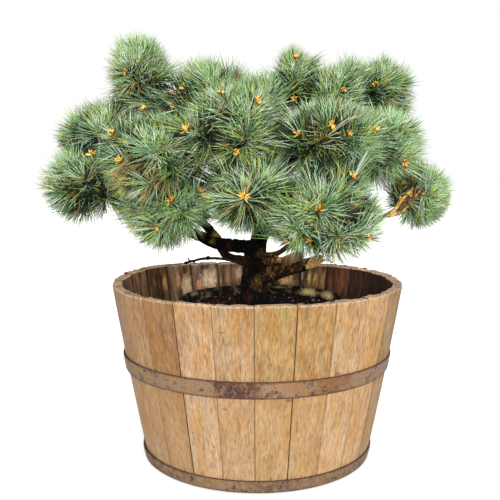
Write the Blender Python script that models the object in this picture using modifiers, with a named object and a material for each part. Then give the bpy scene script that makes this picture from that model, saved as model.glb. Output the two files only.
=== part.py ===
"""A dwarf pine with several leaders, in its nursery pot inside a half-barrel planter.

Units are metres and +Z is up. The origin is the centre of the planter's flat underside,
and the front of the planter faces -Y.
"""

import math

import bmesh
import bpy
import numpy as np
from mathutils import Matrix, Vector
from mathutils.bvhtree import BVHTree

# Planter
TUB_HEIGHT = 0.360
TUB_FOOT_RADIUS = 0.2333
TUB_MIDDLE_RADIUS = 0.2685
TUB_TOP_RADIUS = 0.300
STAVE_COUNT = 25
STAVE_THICKNESS = 0.019
STAVE_EDGE_BEVEL = 0.0022
STAVE_RIM_WEAR = 0.0012
FIRST_SEAM = math.radians(-1.0)
STAVE_PITCH = math.tau / STAVE_COUNT
FACETS_PER_STAVE = 2
# Where the staves' tops stand proud of the rim: direction round the tub, half width and height
RIM_RISES = (
    (math.radians(236.0), math.radians(30.0), 0.0070),
    (math.radians(122.0), math.radians(24.0), 0.0035),
)
# One stave at the back has split off higher than the rest: how much, at both its edges and its middle
SPLIT_STAVE = 11
SPLIT_RISE = (0.034, 0.021, 0.004)
BOARD_THICKNESS = 0.022
CLEARANCE = 0.0003

# Hoops: lower edge, height, and where their riveted lap sits round the tub
HOOP_THICKNESS = 0.003
MIDDLE_HOOP = (0.190, 0.032, math.radians(-14.0))
LOWER_HOOP = (0.002, 0.024, math.radians(172.0))
LAP_ANGLE = math.radians(9.0)
LAP_STAND = 0.0022
LAP_INSET = 0.0008
LAP_SUNK = 0.0018
RIVET_RADIUS = 0.0048
RIVET_HEIGHT = 0.0035
RIVET_TAPER = 0.6

# Nursery pot and what it is filled with
POT_OFFSET = 0.010
POT_RIM_HEIGHT = 0.325
POT_TOP_RADIUS = 0.170
POT_FOOT_RADIUS = 0.132
POT_WALL = 0.0026
POT_LIP = 0.0045
POT_LIP_DEPTH = 0.010
POT_LIP_ROUND = 0.001
POT_STEPS = 32
SOIL_TOP = 0.3125
SOIL_FLAT_RADIUS = 0.062
SOIL_EDGE_DROP = 0.007

# Limbs: control points from the base out, with the radius at each.
# The trunk's first point is under the level where its foot is cut flat.
TRUNK_FOOT = SOIL_TOP + CLEARANCE
TRUNK = (
    ((-0.006, 0.000, 0.3000), 0.0400),
    ((-0.006, 0.000, 0.3160), 0.0330),
    ((-0.007, 0.000, 0.3300), 0.0280),
    ((-0.009, 0.000, 0.350), 0.0260),
    ((-0.006, 0.000, 0.385), 0.0250),
    ((-0.004, 0.000, 0.415), 0.0235),
    ((0.001, 0.000, 0.437), 0.0185),
    ((0.010, 0.001, 0.478), 0.0160),
    ((0.018, 0.003, 0.530), 0.0140),
    ((0.027, 0.004, 0.620), 0.0110),
    ((0.041, 0.006, 0.675), 0.0085),
    ((0.053, 0.009, 0.710), 0.0060),
)
STUB = (
    ((0.002, -0.004, 0.4010), 0.0115),
    ((0.030, -0.019, 0.4040), 0.0104),
    ((0.050, -0.025, 0.4050), 0.0088),
)
DEAD_TWIG = (
    ((-0.010, -0.006, 0.3930), 0.0062),
    ((-0.030, -0.008, 0.3976), 0.0048),
    ((-0.058, -0.006, 0.4050), 0.0036),
    ((-0.078, -0.002, 0.4074), 0.0032),
    ((-0.104, 0.004, 0.4074), 0.0031),
    ((-0.123, 0.009, 0.4044), 0.0029),
    ((-0.140, 0.013, 0.3997), 0.0028),
    ((-0.151, 0.016, 0.3967), 0.0024),
)
SNAG = (((0.116, -0.060, 0.4040), 0.0042), ((0.154, -0.070, 0.4085), 0.0013))
BOUGHS = {
    "left_lower_bough": (
        ((-0.002, 0.000, 0.4300), 0.0150),
        ((-0.030, 0.000, 0.4328), 0.0142),
        ((-0.055, -0.002, 0.4352), 0.0138),
        ((-0.078, -0.006, 0.4388), 0.0128),
        ((-0.098, -0.012, 0.4455), 0.0122),
        ((-0.117, -0.018, 0.4560), 0.0116),
        ((-0.137, -0.024, 0.4642), 0.0106),
        ((-0.199, -0.030, 0.4880), 0.0078),
        ((-0.252, -0.036, 0.5150), 0.0056),
    ),
    "left_upper_bough": (
        ((-0.005, 0.000, 0.4040), 0.0090),
        ((-0.030, 0.006, 0.4046), 0.0084),
        ((-0.053, 0.014, 0.4077), 0.0080),
        ((-0.070, 0.022, 0.4150), 0.0084),
        ((-0.079, 0.028, 0.4300), 0.0090),
        ((-0.087, 0.029, 0.4481), 0.0095),
        ((-0.100, 0.028, 0.4642), 0.0093),
        ((-0.135, 0.026, 0.5028), 0.0080),
        ((-0.151, 0.026, 0.5230), 0.0073),
        ((-0.196, 0.024, 0.5800), 0.0060),
        ((-0.229, 0.016, 0.6550), 0.0050),
        ((-0.235, 0.012, 0.6930), 0.0045),
    ),
    "left_middle_bough": (
        ((0.016, 0.003, 0.515), 0.0080),
        ((-0.060, 0.030, 0.535), 0.0070),
        ((-0.160, 0.074, 0.580), 0.0056),
        ((-0.258, 0.066, 0.618), 0.0045),
    ),
    "right_front_bough": (
        ((0.000, -0.004, 0.4090), 0.0068),
        ((0.022, -0.018, 0.4168), 0.0056),
        ((0.041, -0.030, 0.4215), 0.0050),
        ((0.060, -0.052, 0.4370), 0.0046),
        ((0.084, -0.092, 0.4600), 0.0044),
        ((0.098, -0.114, 0.4740), 0.0042),
    ),
    "right_lower_bough": (
        ((0.005, 0.000, 0.457), 0.0085),
        ((0.060, 0.010, 0.466), 0.0075),
        ((0.150, 0.004, 0.476), 0.0062),
        ((0.235, -0.012, 0.487), 0.0050),
        ((0.262, -0.014, 0.497), 0.0046),
    ),
    "right_middle_bough": (
        ((0.017, 0.002, 0.520), 0.0075),
        ((0.080, 0.014, 0.552), 0.0064),
        ((0.150, -0.004, 0.586), 0.0052),
        ((0.196, -0.024, 0.608), 0.0046),
    ),
    "right_upper_bough": (
        ((0.023, 0.004, 0.580), 0.0075),
        ((0.088, 0.034, 0.622), 0.0064),
        ((0.168, 0.056, 0.668), 0.0052),
        ((0.214, 0.054, 0.702), 0.0046),
    ),
    "back_left_bough": (
        ((0.008, 0.001, 0.470), 0.0090),
        ((-0.040, 0.056, 0.500), 0.0076),
        ((-0.098, 0.112, 0.556), 0.0058),
        ((-0.140, 0.148, 0.594), 0.0048),
    ),
    "back_right_bough": (
        ((0.012, 0.002, 0.490), 0.0085),
        ((0.056, 0.052, 0.516), 0.0070),
        ((0.104, 0.104, 0.554), 0.0056),
        ((0.146, 0.138, 0.582), 0.0048),
    ),
}
SAWN_BOUGH = (
    ((-0.009, 0.000, 0.3520), 0.0130),
    ((0.010, -0.008, 0.3618), 0.0118),
    ((0.032, -0.018, 0.3707), 0.0112),
    ((0.053, -0.028, 0.3805), 0.0112),
    ((0.081, -0.042, 0.3928), 0.0120),
    ((0.109, -0.054, 0.4050), 0.0120),
    ((0.130, -0.064, 0.4130), 0.0104),
)

# A bough with more points than this is smooth enough with none between them
MANY_POINTS = 6

# Foliage: what carries each mass, its middle, and its half widths along X, Y and Z
MASSES = {
    "top_left_mass": ("left_upper_bough", (-0.244, 0.000, 0.787), (0.071, 0.090, 0.100)),
    "upper_left_mass": (0.610, (-0.085, 0.030, 0.743), (0.112, 0.104, 0.102)),
    "far_left_upper_mass": ("left_middle_bough", (-0.333, 0.050, 0.657), (0.117, 0.114, 0.098)),
    "far_left_lower_mass": ("left_lower_bough", (-0.343, -0.050, 0.561), (0.107, 0.108, 0.091)),
    "left_front_mass": (0.540, (-0.204, -0.150, 0.618), (0.114, 0.112, 0.101)),
    "left_low_mass": (0.480, (-0.184, -0.090, 0.519), (0.102, 0.096, 0.096)),
    "front_low_mass": (0.500, (-0.018, -0.160, 0.547), (0.098, 0.109, 0.092)),
    "front_upper_mass": (0.575, (-0.050, -0.160, 0.665), (0.111, 0.109, 0.099)),
    "centre_top_mass": (0.650, (-0.010, -0.035, 0.712), (0.089, 0.096, 0.089)),
    "top_tuft_mass": ("trunk", (0.075, 0.018, 0.772), (0.055, 0.068, 0.088)),
    "right_front_low_mass": ("right_front_bough", (0.122, -0.160, 0.512), (0.131, 0.112, 0.105)),
    "right_front_upper_mass": (0.560, (0.138, -0.140, 0.651), (0.114, 0.112, 0.096)),
    "right_top_mass": (0.640, (0.172, 0.005, 0.747), (0.082, 0.098, 0.100)),
    "right_spike_mass": ("right_upper_bough", (0.257, 0.050, 0.754), (0.091, 0.096, 0.098)),
    "far_right_upper_mass": ("right_middle_bough", (0.250, -0.050, 0.642), (0.096, 0.106, 0.096)),
    "far_right_low_mass": ("right_lower_bough", (0.331, -0.010, 0.540), (0.080, 0.102, 0.082)),
    "back_left_mass": ("back_left_bough", (-0.210, 0.210, 0.650), (0.125, 0.125, 0.108)),
    "back_centre_mass": (0.555, (0.010, 0.225, 0.640), (0.125, 0.125, 0.116)),
    "back_right_mass": ("back_right_bough", (0.200, 0.200, 0.630), (0.121, 0.125, 0.108)),
}
SEED = 9514
SHOOTS_PER_MASS = 7
SPRAYS_PER_SHOOT = 3
SPRAY_TRIES = 30
SPRAY_TILTS = (42.0, 80.0)
HEART_SHARE = 0.35
SHOOT_LIFT = 0.12
SHOOT_LEAN = 0.40
STEM_RADIUS = 0.0042
STEM_TIP_RADIUS = 0.0028
STEM_STEPS = (0.0, 0.12, 0.4, 0.7, 1.0)
FIRST_TWIG = 1.6
TWIG_RADIUS = 0.0036
TWIG_TIP_RADIUS = 0.0022
SHOOT_LENGTH = 0.045
NEEDLE_REACH = 0.056
AHEAD_SHARE = 0.98
SPRAY_LENGTH = 0.086
SPRAY_TEETH = ((-37.0, 0.82), (-13.0, 1.0), (13.0, 1.0), (37.0, 0.82))
SPRAY_NOTCH = 0.50
SPRAY_RIDGE = 0.18
SPRAY_HALF_THICKNESS = 0.018
SPRAY_MARGIN = 0.012
LIMB_MARGIN = 0.0015
GOLDEN_SHARE = (math.sqrt(5.0) - 1.0) / 2.0
GOLDEN_ANGLE = math.tau * (1.0 - GOLDEN_SHARE)

# Finishes: colour, roughness and metallic value
WOOD = ((0.52, 0.33, 0.17), 0.75, 0.0)
RUST = ((0.18, 0.10, 0.07), 0.70, 0.6)
DARK_PLASTIC = ((0.045, 0.045, 0.030), 0.55, 0.0)
EARTH = ((0.050, 0.032, 0.026), 0.95, 0.0)
BARK = ((0.075, 0.050, 0.040), 0.90, 0.0)
NEEDLES = ((0.16, 0.27, 0.20), 0.60, 0.0)


def clear_scene():
    for obj in list(bpy.data.objects):
        bpy.data.objects.remove(obj, do_unlink=True)


def new_collection(name):
    collection = bpy.data.collections.new(name)
    bpy.context.scene.collection.children.link(collection)
    return collection


def paint(obj, finish, shade=1.0):
    colour, roughness, metallic = finish
    material = bpy.data.materials.new(obj.name)
    material.use_nodes = True
    shader = material.node_tree.nodes["Principled BSDF"]
    shader.inputs["Base Color"].default_value = (*[shade * part for part in colour], 1.0)
    shader.inputs["Roughness"].default_value = roughness
    shader.inputs["Metallic"].default_value = metallic
    obj.data.materials.clear()
    obj.data.materials.append(material)


def add_mesh(name, bm, collection):
    mesh = bpy.data.meshes.new(name)
    bm.to_mesh(mesh)
    bm.free()
    obj = bpy.data.objects.new(name, mesh)
    collection.objects.link(obj)
    return obj


def evaluated_mesh(obj):
    """The object's mesh after its modifiers or its curve's bevel, with coincident points welded."""
    bpy.context.view_layer.update()
    graph = bpy.context.evaluated_depsgraph_get()
    mesh = bpy.data.meshes.new_from_object(obj.evaluated_get(graph))
    bm = bmesh.new()
    bm.from_mesh(mesh)
    bmesh.ops.remove_doubles(bm, verts=bm.verts, dist=1e-6)
    bmesh.ops.recalc_face_normals(bm, faces=bm.faces)
    bm.to_mesh(mesh)
    bm.free()
    return mesh


def boolean(obj, operation, other, solver="EXACT"):
    """Applies one Boolean with an object, or with all the objects of a collection."""
    modifier = obj.modifiers.new(operation.lower(), "BOOLEAN")
    modifier.operation = operation
    modifier.solver = solver
    if isinstance(other, bpy.types.Collection):
        modifier.operand_type = "COLLECTION"
        modifier.collection = other
    else:
        modifier.object = other
    joined = evaluated_mesh(obj)
    obj.modifiers.clear()
    obj.data = joined


def fuse(obj, pieces):
    """Joins a collection's objects to this one, and removes them."""
    boolean(obj, "UNION", pieces, "MANIFOLD")
    for piece in list(pieces.objects):
        bpy.data.objects.remove(piece, do_unlink=True)
    bpy.data.collections.remove(pieces)


def keep_main_shell(obj):
    """Leaves only the shell that holds the most volume: sealed hollows fill and scraps drop."""
    bm = bmesh.new()
    bm.from_mesh(obj.data)
    unseen = set(bm.faces)
    shells = []
    while unseen:
        shell = set()
        edge_of_shell = [next(iter(unseen))]
        while edge_of_shell:
            face = edge_of_shell.pop()
            if face in shell:
                continue
            shell.add(face)
            edge_of_shell.extend(near for edge in face.edges for near in edge.link_faces)
        unseen -= shell
        shells.append(shell)
    main = max(shells, key=shell_volume)
    for shell in shells:
        if shell is not main:
            bmesh.ops.delete(bm, geom=list(shell), context="FACES")
    bm.to_mesh(obj.data)
    bm.free()


def shell_volume(faces):
    total = 0.0
    for face in faces:
        corners = [vert.co for vert in face.verts]
        for second, third in zip(corners[1:], corners[2:]):
            total += corners[0].dot(second.cross(third))
    return total / 6.0


def tub_radius(height):
    """Outer radius of the tub, which swells slightly between foot and rim."""
    heights = (0.0, TUB_HEIGHT / 2, TUB_HEIGHT)
    return float(np.interp(height, heights, (TUB_FOOT_RADIUS, TUB_MIDDLE_RADIUS, TUB_TOP_RADIUS)))


def barrel_block(name, low, high, stand, thickness, half_angle, rows, bevel, collection):
    """A block that follows the tub's wall: half_angle gives its half width at each radius."""
    bm = bmesh.new()
    bmesh.ops.create_cube(bm, size=1.0)
    upright = [e for e in bm.edges if abs(e.verts[0].co.z - e.verts[1].co.z) > 0.5]
    bmesh.ops.subdivide_edges(bm, edges=upright, cuts=rows - 1)
    across = [e for e in bm.edges if abs(e.verts[0].co.x - e.verts[1].co.x) > 0.5]
    bmesh.ops.subdivide_edges(bm, edges=across, cuts=FACETS_PER_STAVE - 1, use_grid_fill=True)
    long_edges = [
        e
        for e in bm.edges
        if all(v.co.y < -0.4 and abs(v.co.x) > 0.4 for v in e.verts)
        and abs(e.verts[0].co.z - e.verts[1].co.z) > 0.1
    ]
    for vert in bm.verts:
        height = low + (vert.co.z + 0.5) * (high - low)
        radius = tub_radius(height) + stand - (0.5 + vert.co.y) * thickness
        angle = 2 * vert.co.x * half_angle(radius)
        vert.co = (radius * math.sin(angle), -radius * math.cos(angle), height)
    if bevel:
        bmesh.ops.bevel(bm, geom=long_edges, offset=bevel, segments=1, affect="EDGES")
    for vert in bm.verts:
        radius = math.hypot(vert.co.x, vert.co.y)
        widest = half_angle(radius)
        angle = max(-widest, min(widest, math.atan2(vert.co.x, -vert.co.y)))
        vert.co = (radius * math.sin(angle), -radius * math.cos(angle), vert.co.z)
    return add_mesh(name, bm, collection)


def stave_top(angle):
    """Height of the stave whose middle is at this angle round the tub."""
    rises = [height * math.exp(-(((angle - where) / width) ** 2)) for where, width, height in RIM_RISES]
    return TUB_HEIGHT + sum(rises)


def make_staves(collection):
    rng = np.random.default_rng(SEED)
    for index in range(STAVE_COUNT):
        middle = FIRST_SEAM + (index + 0.5) * STAVE_PITCH
        wear = float(rng.uniform(-STAVE_RIM_WEAR, 0.0))
        stave = barrel_block(
            f"stave_{index + 1:02d}",
            0.0,
            stave_top(middle) + wear,
            0.0,
            STAVE_THICKNESS,
            lambda radius: STAVE_PITCH / 2 - CLEARANCE / 2 / radius,
            2,
            STAVE_EDGE_BEVEL,
            collection,
        )
        if index == SPLIT_STAVE:
            raise_top(stave)
        stave.rotation_euler.z = middle
        paint(stave, WOOD, float(rng.uniform(0.85, 1.15)))


def raise_top(stave):
    """Slants a stave's top from one edge to the other, as it split."""
    for vert in stave.data.vertices:
        if vert.co.z > TUB_HEIGHT / 2 + STAVE_THICKNESS:
            across = 2 * math.atan2(vert.co.x, -vert.co.y) / STAVE_PITCH
            vert.co.z += float(np.interp(across, (-1.0, 0.0, 1.0), SPLIT_RISE))


def turned(name, profile, steps, ring, collection):
    """Turns a profile in the XZ plane about Z. A ring's profile closes on itself."""
    bm = bmesh.new()
    verts = [bm.verts.new((x, 0.0, z)) for x, z in profile]
    for first, second in zip(verts, verts[1:] + verts[:1] if ring else verts[1:]):
        bm.edges.new((first, second))
    obj = add_mesh(name, bm, collection)
    screw = obj.modifiers.new("turn", "SCREW")
    screw.angle = math.tau
    screw.steps = steps
    screw.render_steps = steps
    screw.use_merge_vertices = True
    screw.merge_threshold = 0.0001
    screw.use_smooth_shade = True
    return obj


def make_base_board(collection):
    """The tub's floor, flush with the foot of the staves, which close on its bevelled edge."""
    bm = bmesh.new()
    bmesh.ops.create_cone(
        bm,
        cap_ends=True,
        segments=STAVE_COUNT * FACETS_PER_STAVE,
        radius1=tub_radius(0.0) - STAVE_THICKNESS - CLEARANCE,
        radius2=tub_radius(BOARD_THICKNESS) - STAVE_THICKNESS - CLEARANCE,
        depth=BOARD_THICKNESS,
    )
    board = add_mesh("base_board", bm, collection)
    board.location.z = BOARD_THICKNESS / 2
    board.rotation_euler.z = FIRST_SEAM
    paint(board, WOOD, 0.6)


def make_hoop(name, hoop, collection):
    """A flat iron band that follows the staves' facets, with its ends lapped and riveted."""
    low, height, lap_at = hoop
    high = low + height
    inner = CLEARANCE
    outer = CLEARANCE + HOOP_THICKNESS
    profile = (
        (tub_radius(high) + outer, high),
        (tub_radius(low) + outer, low),
        (tub_radius(low) + inner, low),
        (tub_radius(high) + inner, high),
    )
    band = turned(name, profile, STAVE_COUNT * FACETS_PER_STAVE, True, collection)
    band.rotation_euler.z = FIRST_SEAM - math.pi / 2
    extras = new_collection(name + "_lap")
    lap = barrel_block(
        name + "_plate",
        low + LAP_INSET,
        high - LAP_INSET,
        outer + LAP_STAND,
        LAP_STAND + LAP_SUNK,
        lambda radius: LAP_ANGLE / 2,
        1,
        0.0,
        extras,
    )
    lap.rotation_euler.z = lap_at
    for side in (-1, 1):
        add_rivet(lap_at + side * LAP_ANGLE / 4, (low + high) / 2, outer + LAP_STAND, extras)
    fuse(band, extras)
    band.data.shade_smooth()
    band.data.set_sharp_from_angle(angle=math.radians(30.0))
    paint(band, RUST)


def add_rivet(angle, height, stand, collection):
    bm = bmesh.new()
    bmesh.ops.create_cone(
        bm,
        cap_ends=True,
        segments=8,
        radius1=RIVET_RADIUS,
        radius2=RIVET_TAPER * RIVET_RADIUS,
        depth=RIVET_HEIGHT,
    )
    rivet = add_mesh("rivet", bm, collection)
    outward = Vector((math.sin(angle), -math.cos(angle), 0.0))
    radius = tub_radius(height) + stand
    rivet.matrix_world = placed(outward * radius + Vector((0.0, 0.0, height)), outward)


def placed(origin, direction):
    """A matrix that turns +Z to the direction and moves to the origin."""
    turn = direction.to_track_quat("Z", "Y").to_matrix().to_4x4()
    return Matrix.Translation(origin) @ turn


def make_nursery_pot(collection):
    """A thin pot with a rolled lip, which stands on the base board."""
    foot = BOARD_THICKNESS + CLEARANCE
    floor = foot + POT_WALL
    lip_under = POT_RIM_HEIGHT - POT_LIP_DEPTH
    profile = (
        (0.0, floor),
        (POT_FOOT_RADIUS - POT_WALL, floor),
        (POT_TOP_RADIUS - POT_WALL, POT_RIM_HEIGHT - POT_LIP_ROUND),
        (POT_TOP_RADIUS, POT_RIM_HEIGHT),
        (POT_TOP_RADIUS + POT_LIP, POT_RIM_HEIGHT - 2 * POT_LIP_ROUND),
        (POT_TOP_RADIUS + POT_LIP, lip_under),
        (pot_outer_radius(lip_under), lip_under),
        (POT_FOOT_RADIUS, foot),
        (0.0, foot),
    )
    pot = turned("nursery_pot", profile, POT_STEPS, False, collection)
    pot.location.x = POT_OFFSET
    paint(pot, DARK_PLASTIC)


def pot_outer_radius(height):
    heights = (BOARD_THICKNESS, POT_RIM_HEIGHT)
    return float(np.interp(height, heights, (POT_FOOT_RADIUS, POT_TOP_RADIUS)))


def make_soil(collection):
    """The root ball's soil, level round the trunk and falling away to the pot's wall."""
    bottom = BOARD_THICKNESS + POT_WALL + 2 * CLEARANCE
    edge = SOIL_TOP - SOIL_EDGE_DROP
    rim = pot_outer_radius(edge) - POT_WALL - 2 * CLEARANCE
    profile = (
        (0.0, SOIL_TOP),
        (SOIL_FLAT_RADIUS, SOIL_TOP),
        ((SOIL_FLAT_RADIUS + rim) / 2, SOIL_TOP - 0.3 * SOIL_EDGE_DROP),
        (rim, edge),
        (POT_FOOT_RADIUS - POT_WALL - 2 * CLEARANCE, bottom),
        (0.0, bottom),
    )
    soil = turned("soil", profile, POT_STEPS, False, collection)
    soil.location.x = POT_OFFSET
    paint(soil, EARTH)


def smooth_route(controls, spans):
    """A Catmull-Rom curve through the control points, with the radius carried along."""
    rows = np.array([(*point, radius) for point, radius in controls])
    padded = np.vstack([2 * rows[0] - rows[1], rows, 2 * rows[-1] - rows[-2]])
    route = []
    for index in range(len(rows) - 1):
        a, b, c, d = padded[index : index + 4]
        for t in np.arange(spans) / spans:
            route.append(
                0.5 * (2 * b + (c - a) * t + (2 * a - 5 * b + 4 * c - d) * t**2)
                + 0.5 * (3 * b - a - 3 * c + d) * t**3
            )
    route.append(rows[-1])
    return [(Vector(row[:3]), float(row[3])) for row in route]


def limb(name, route, resolution, collection, swell=0.0):
    """A tapering limb along a route, as one closed mesh."""
    curve = bpy.data.curves.new(name, "CURVE")
    curve.dimensions = "3D"
    curve.bevel_depth = 1.0
    curve.bevel_resolution = resolution
    curve.use_fill_caps = True
    spline = curve.splines.new("POLY")
    spline.points.add(len(route) - 1)
    for point, (place, radius) in zip(spline.points, route):
        point.co = (*place, 1.0)
        point.radius = radius + swell
    guide = bpy.data.objects.new(name + "_guide", curve)
    collection.objects.link(guide)
    mesh = evaluated_mesh(guide)
    obj = bpy.data.objects.new(name, mesh)
    obj.matrix_world = guide.matrix_world
    collection.objects.link(obj)
    bpy.data.objects.remove(guide, do_unlink=True)
    bpy.data.curves.remove(curve)
    return obj


def cut_level(obj, height):
    """Cuts off what lies under a height, and closes the cut with a flat face."""
    bm = bmesh.new()
    bm.from_mesh(obj.data)
    cut = bmesh.ops.bisect_plane(
        bm,
        geom=bm.verts[:] + bm.edges[:] + bm.faces[:],
        plane_co=(0.0, 0.0, height),
        plane_no=(0.0, 0.0, 1.0),
        clear_inner=True,
    )
    outline = [item for item in cut["geom_cut"] if isinstance(item, bmesh.types.BMEdge)]
    bmesh.ops.edgeloop_fill(bm, edges=outline)
    bmesh.ops.recalc_face_normals(bm, faces=bm.faces)
    bm.to_mesh(obj.data)
    bm.free()


def make_trunk(collection):
    """The trunk from its flat foot to its tip, with a sawn stub and a dead twig."""
    trunk = limb("trunk", smooth_route(TRUNK, 2), 3, collection)
    cut_level(trunk, TRUNK_FOOT)
    add_trunk_stumps(trunk, 0.0)
    paint(trunk, BARK)


def add_trunk_stumps(trunk, swell):
    extras = new_collection(trunk.name + "_extras")
    limb("stub", smooth_route(STUB, 1), 2, extras, swell)
    limb("dead_twig", smooth_route(DEAD_TWIG, 1), 0, extras, swell)
    fuse(trunk, extras)


def make_boughs(trunk_cutter, cutters, collection):
    """Each bough grows from the trunk's axis and is cut clear of the trunk's bark."""
    boughs = []
    for name, controls in BOUGHS.items():
        route = smooth_route(controls, 1 if len(controls) > MANY_POINTS else 2)
        boughs.append(limb(name, route, 1, collection))
        add_cutter(name, route, 1, cutters)
    sawn = limb("sawn_bough", smooth_route(SAWN_BOUGH, 2), 2, collection)
    extras = new_collection("sawn_bough_extras")
    limb("snag", smooth_route(SNAG, 1), 0, extras)
    fuse(sawn, extras)
    boughs.append(sawn)
    for bough in boughs:
        boolean(bough, "DIFFERENCE", trunk_cutter)
        keep_main_shell(bough)
        paint(bough, BARK)


def trunk_point(height):
    """The trunk's axis and radius at a height."""
    route = smooth_route(TRUNK, 2)
    heights = [place.z for place, _ in route]
    columns = [[place[axis] for place, _ in route] for axis in range(3)]
    place = Vector([float(np.interp(height, heights, column)) for column in columns])
    return place, float(np.interp(height, heights, [radius for _, radius in route]))


def heart_of(name):
    """The point in a mass from which its twigs spread: on its carrier's side of the middle."""
    carrier, middle, reach = MASSES[name]
    middle = Vector(middle)
    if isinstance(carrier, float):
        foot = trunk_point(carrier)[0]
    else:
        foot = Vector((TRUNK if carrier == "trunk" else BOUGHS[carrier])[-1][0])
    return middle + HEART_SHARE * min(reach) * (foot - middle).normalized()


def stem_route(name):
    """A mass's stem, from its bough's tip or from the trunk's axis to its heart."""
    carrier = MASSES[name][0]
    heart = heart_of(name)
    if isinstance(carrier, float):
        foot, _ = trunk_point(carrier)
        reach = (heart - foot).length
        level = Vector((heart.x - foot.x, heart.y - foot.y, 0.0)).normalized()
        bend = foot + 0.45 * reach * level + Vector((0.0, 0.0, 0.3 * (heart.z - foot.z)))
        radius = STEM_RADIUS
    else:
        limb_route = smooth_route(TRUNK if carrier == "trunk" else BOUGHS[carrier], 2)
        tip, radius = limb_route[-1]
        outward = (tip - limb_route[-2][0]).normalized()
        foot = tip + CLEARANCE * outward
        bend = foot + 0.4 * (heart - foot).length * outward
    route = []
    for t in STEM_STEPS:
        place = (1 - t) ** 2 * foot + 2 * t * (1 - t) * bend + t**2 * heart
        route.append((place, radius + t * (STEM_TIP_RADIUS - radius)))
    return route


def in_space(name, point):
    """Whether a point is in a mass's own space, the ellipsoid of its reach."""
    _, middle, reach = MASSES[name]
    offset = point - Vector(middle)
    return Vector([part / size for part, size in zip(offset, reach)]).length < 1.0


def spray_scale(name):
    """Sprays are shorter in a mass that is narrower than a spray is long."""
    return min(1.0, min(MASSES[name][2]) / SPRAY_LENGTH)


def shoot_count(name):
    """A mass at a limb's tip has one more twig than the others: its leader."""
    return SHOOTS_PER_MASS + (not isinstance(MASSES[name][0], float))


def shoot_tip(name, index, rng):
    """Where a twig ends, short of the mass's surface by its needles. The leader goes straight on."""
    _, middle, reach = MASSES[name]
    heart = heart_of(name)
    level = max(-1.0, 1.0 - 2.0 * (index + 0.5) / SHOOTS_PER_MASS)
    turn = index * GOLDEN_ANGLE + float(rng.uniform(-0.4, 0.4))
    flat = math.sqrt(1.0 - level**2)
    toward = Vector((flat * math.cos(turn), flat * math.sin(turn), level + SHOOT_LIFT))
    outward = (Vector(middle) - heart).normalized()
    toward = outward if index == SHOOTS_PER_MASS else (toward + SHOOT_LEAN * outward).normalized()
    surface = Vector(middle) + Vector([part * size for part, size in zip(toward, reach)])
    return surface - spray_scale(name) * NEEDLE_REACH * (surface - heart).normalized()


def twig_foot(stem, index):
    """Where a mass's twig leaves its stem: spaced along the stem's last stretch, the last at its end."""
    along = min(1.0, (index + 1) / SHOOTS_PER_MASS)
    share = along * (len(stem) - 1 - FIRST_TWIG) + FIRST_TWIG
    step = min(int(share), len(stem) - 2)
    return stem[step][0].lerp(stem[step + 1][0], share - step)


def twig_piece(name, start, end, radius, end_radius, collection):
    """One three-sided tapering stretch of a twig, with its root sunk in what it grows from."""
    bm = bmesh.new()
    direction = (end - start).normalized()
    sunk = start - 0.5 * radius * direction
    bmesh.ops.create_cone(
        bm,
        cap_ends=True,
        segments=3,
        radius1=radius,
        radius2=end_radius,
        depth=(end - sunk).length,
    )
    piece = add_mesh(name, bm, collection)
    piece.matrix_world = placed((sunk + end) / 2, direction)
    return piece


def spray_mesh(swell):
    """A spray of needles as a toothed blade: unit length along Y, its root at the origin."""
    outline = [(0.0, 0.0)]
    for index, (angle, length) in enumerate(SPRAY_TEETH):
        turn = math.radians(angle)
        if index:
            between = (turn + math.radians(SPRAY_TEETH[index - 1][0])) / 2
            outline.append((SPRAY_NOTCH * math.sin(between), SPRAY_NOTCH * math.cos(between)))
        outline.append((length * math.sin(turn), length * math.cos(turn)))
    bm = bmesh.new()
    rim = [bm.verts.new((x, y, 0.0)) for x, y in outline]
    for side in (-1.0, 1.0):
        face = bm.faces.new(rim)
        ridge = bmesh.ops.poke(bm, faces=[face])["verts"][0]
        ridge.co = (0.0, SPRAY_RIDGE, side * (SPRAY_HALF_THICKNESS + swell))
    bmesh.ops.recalc_face_normals(bm, faces=bm.faces)
    bmesh.ops.scale(bm, vec=Vector.Fill(3, 1.0 + swell), verts=bm.verts)
    mesh = bpy.data.meshes.new("spray")
    bm.to_mesh(mesh)
    bm.free()
    return mesh


def spray_matrix(root, direction, axis, length):
    """Places the unit spray at its root, along a direction, with its flat side to the shoot."""
    side = axis.cross(direction).normalized()
    normal = side.cross(direction)
    turn = Matrix((side, direction, normal)).transposed().to_4x4()
    return Matrix.Translation(root) @ turn @ Matrix.Scale(length, 4)


def search_tree(mesh, matrix):
    points = [matrix @ vert.co for vert in mesh.vertices]
    faces = [tuple(polygon.vertices) for polygon in mesh.polygons]
    return BVHTree.FromPolygons(points, faces)


def grow_twigs(name, obstacles, pieces):
    """The mass's twigs, as foot, tip and search tree. One that meets a limb is skipped."""
    stem = stem_route(name)
    twigs = []
    for index in range(shoot_count(name)):
        foot = twig_foot(stem, index)
        tip = shoot_tip(name, index, shoot_rng(name, index))
        piece = twig_piece("twig", foot, tip, TWIG_RADIUS, TWIG_TIP_RADIUS, pieces)
        tree = search_tree(piece.data, piece.matrix_world)
        if any(obstacle.overlap(tree) for obstacle in obstacles):
            bpy.data.objects.remove(piece, do_unlink=True)
        else:
            twigs.append((name, index, foot, tip, tree))
    return twigs


def shoot_rng(name, index):
    return np.random.default_rng([SEED, list(MASSES).index(name), index])


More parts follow.
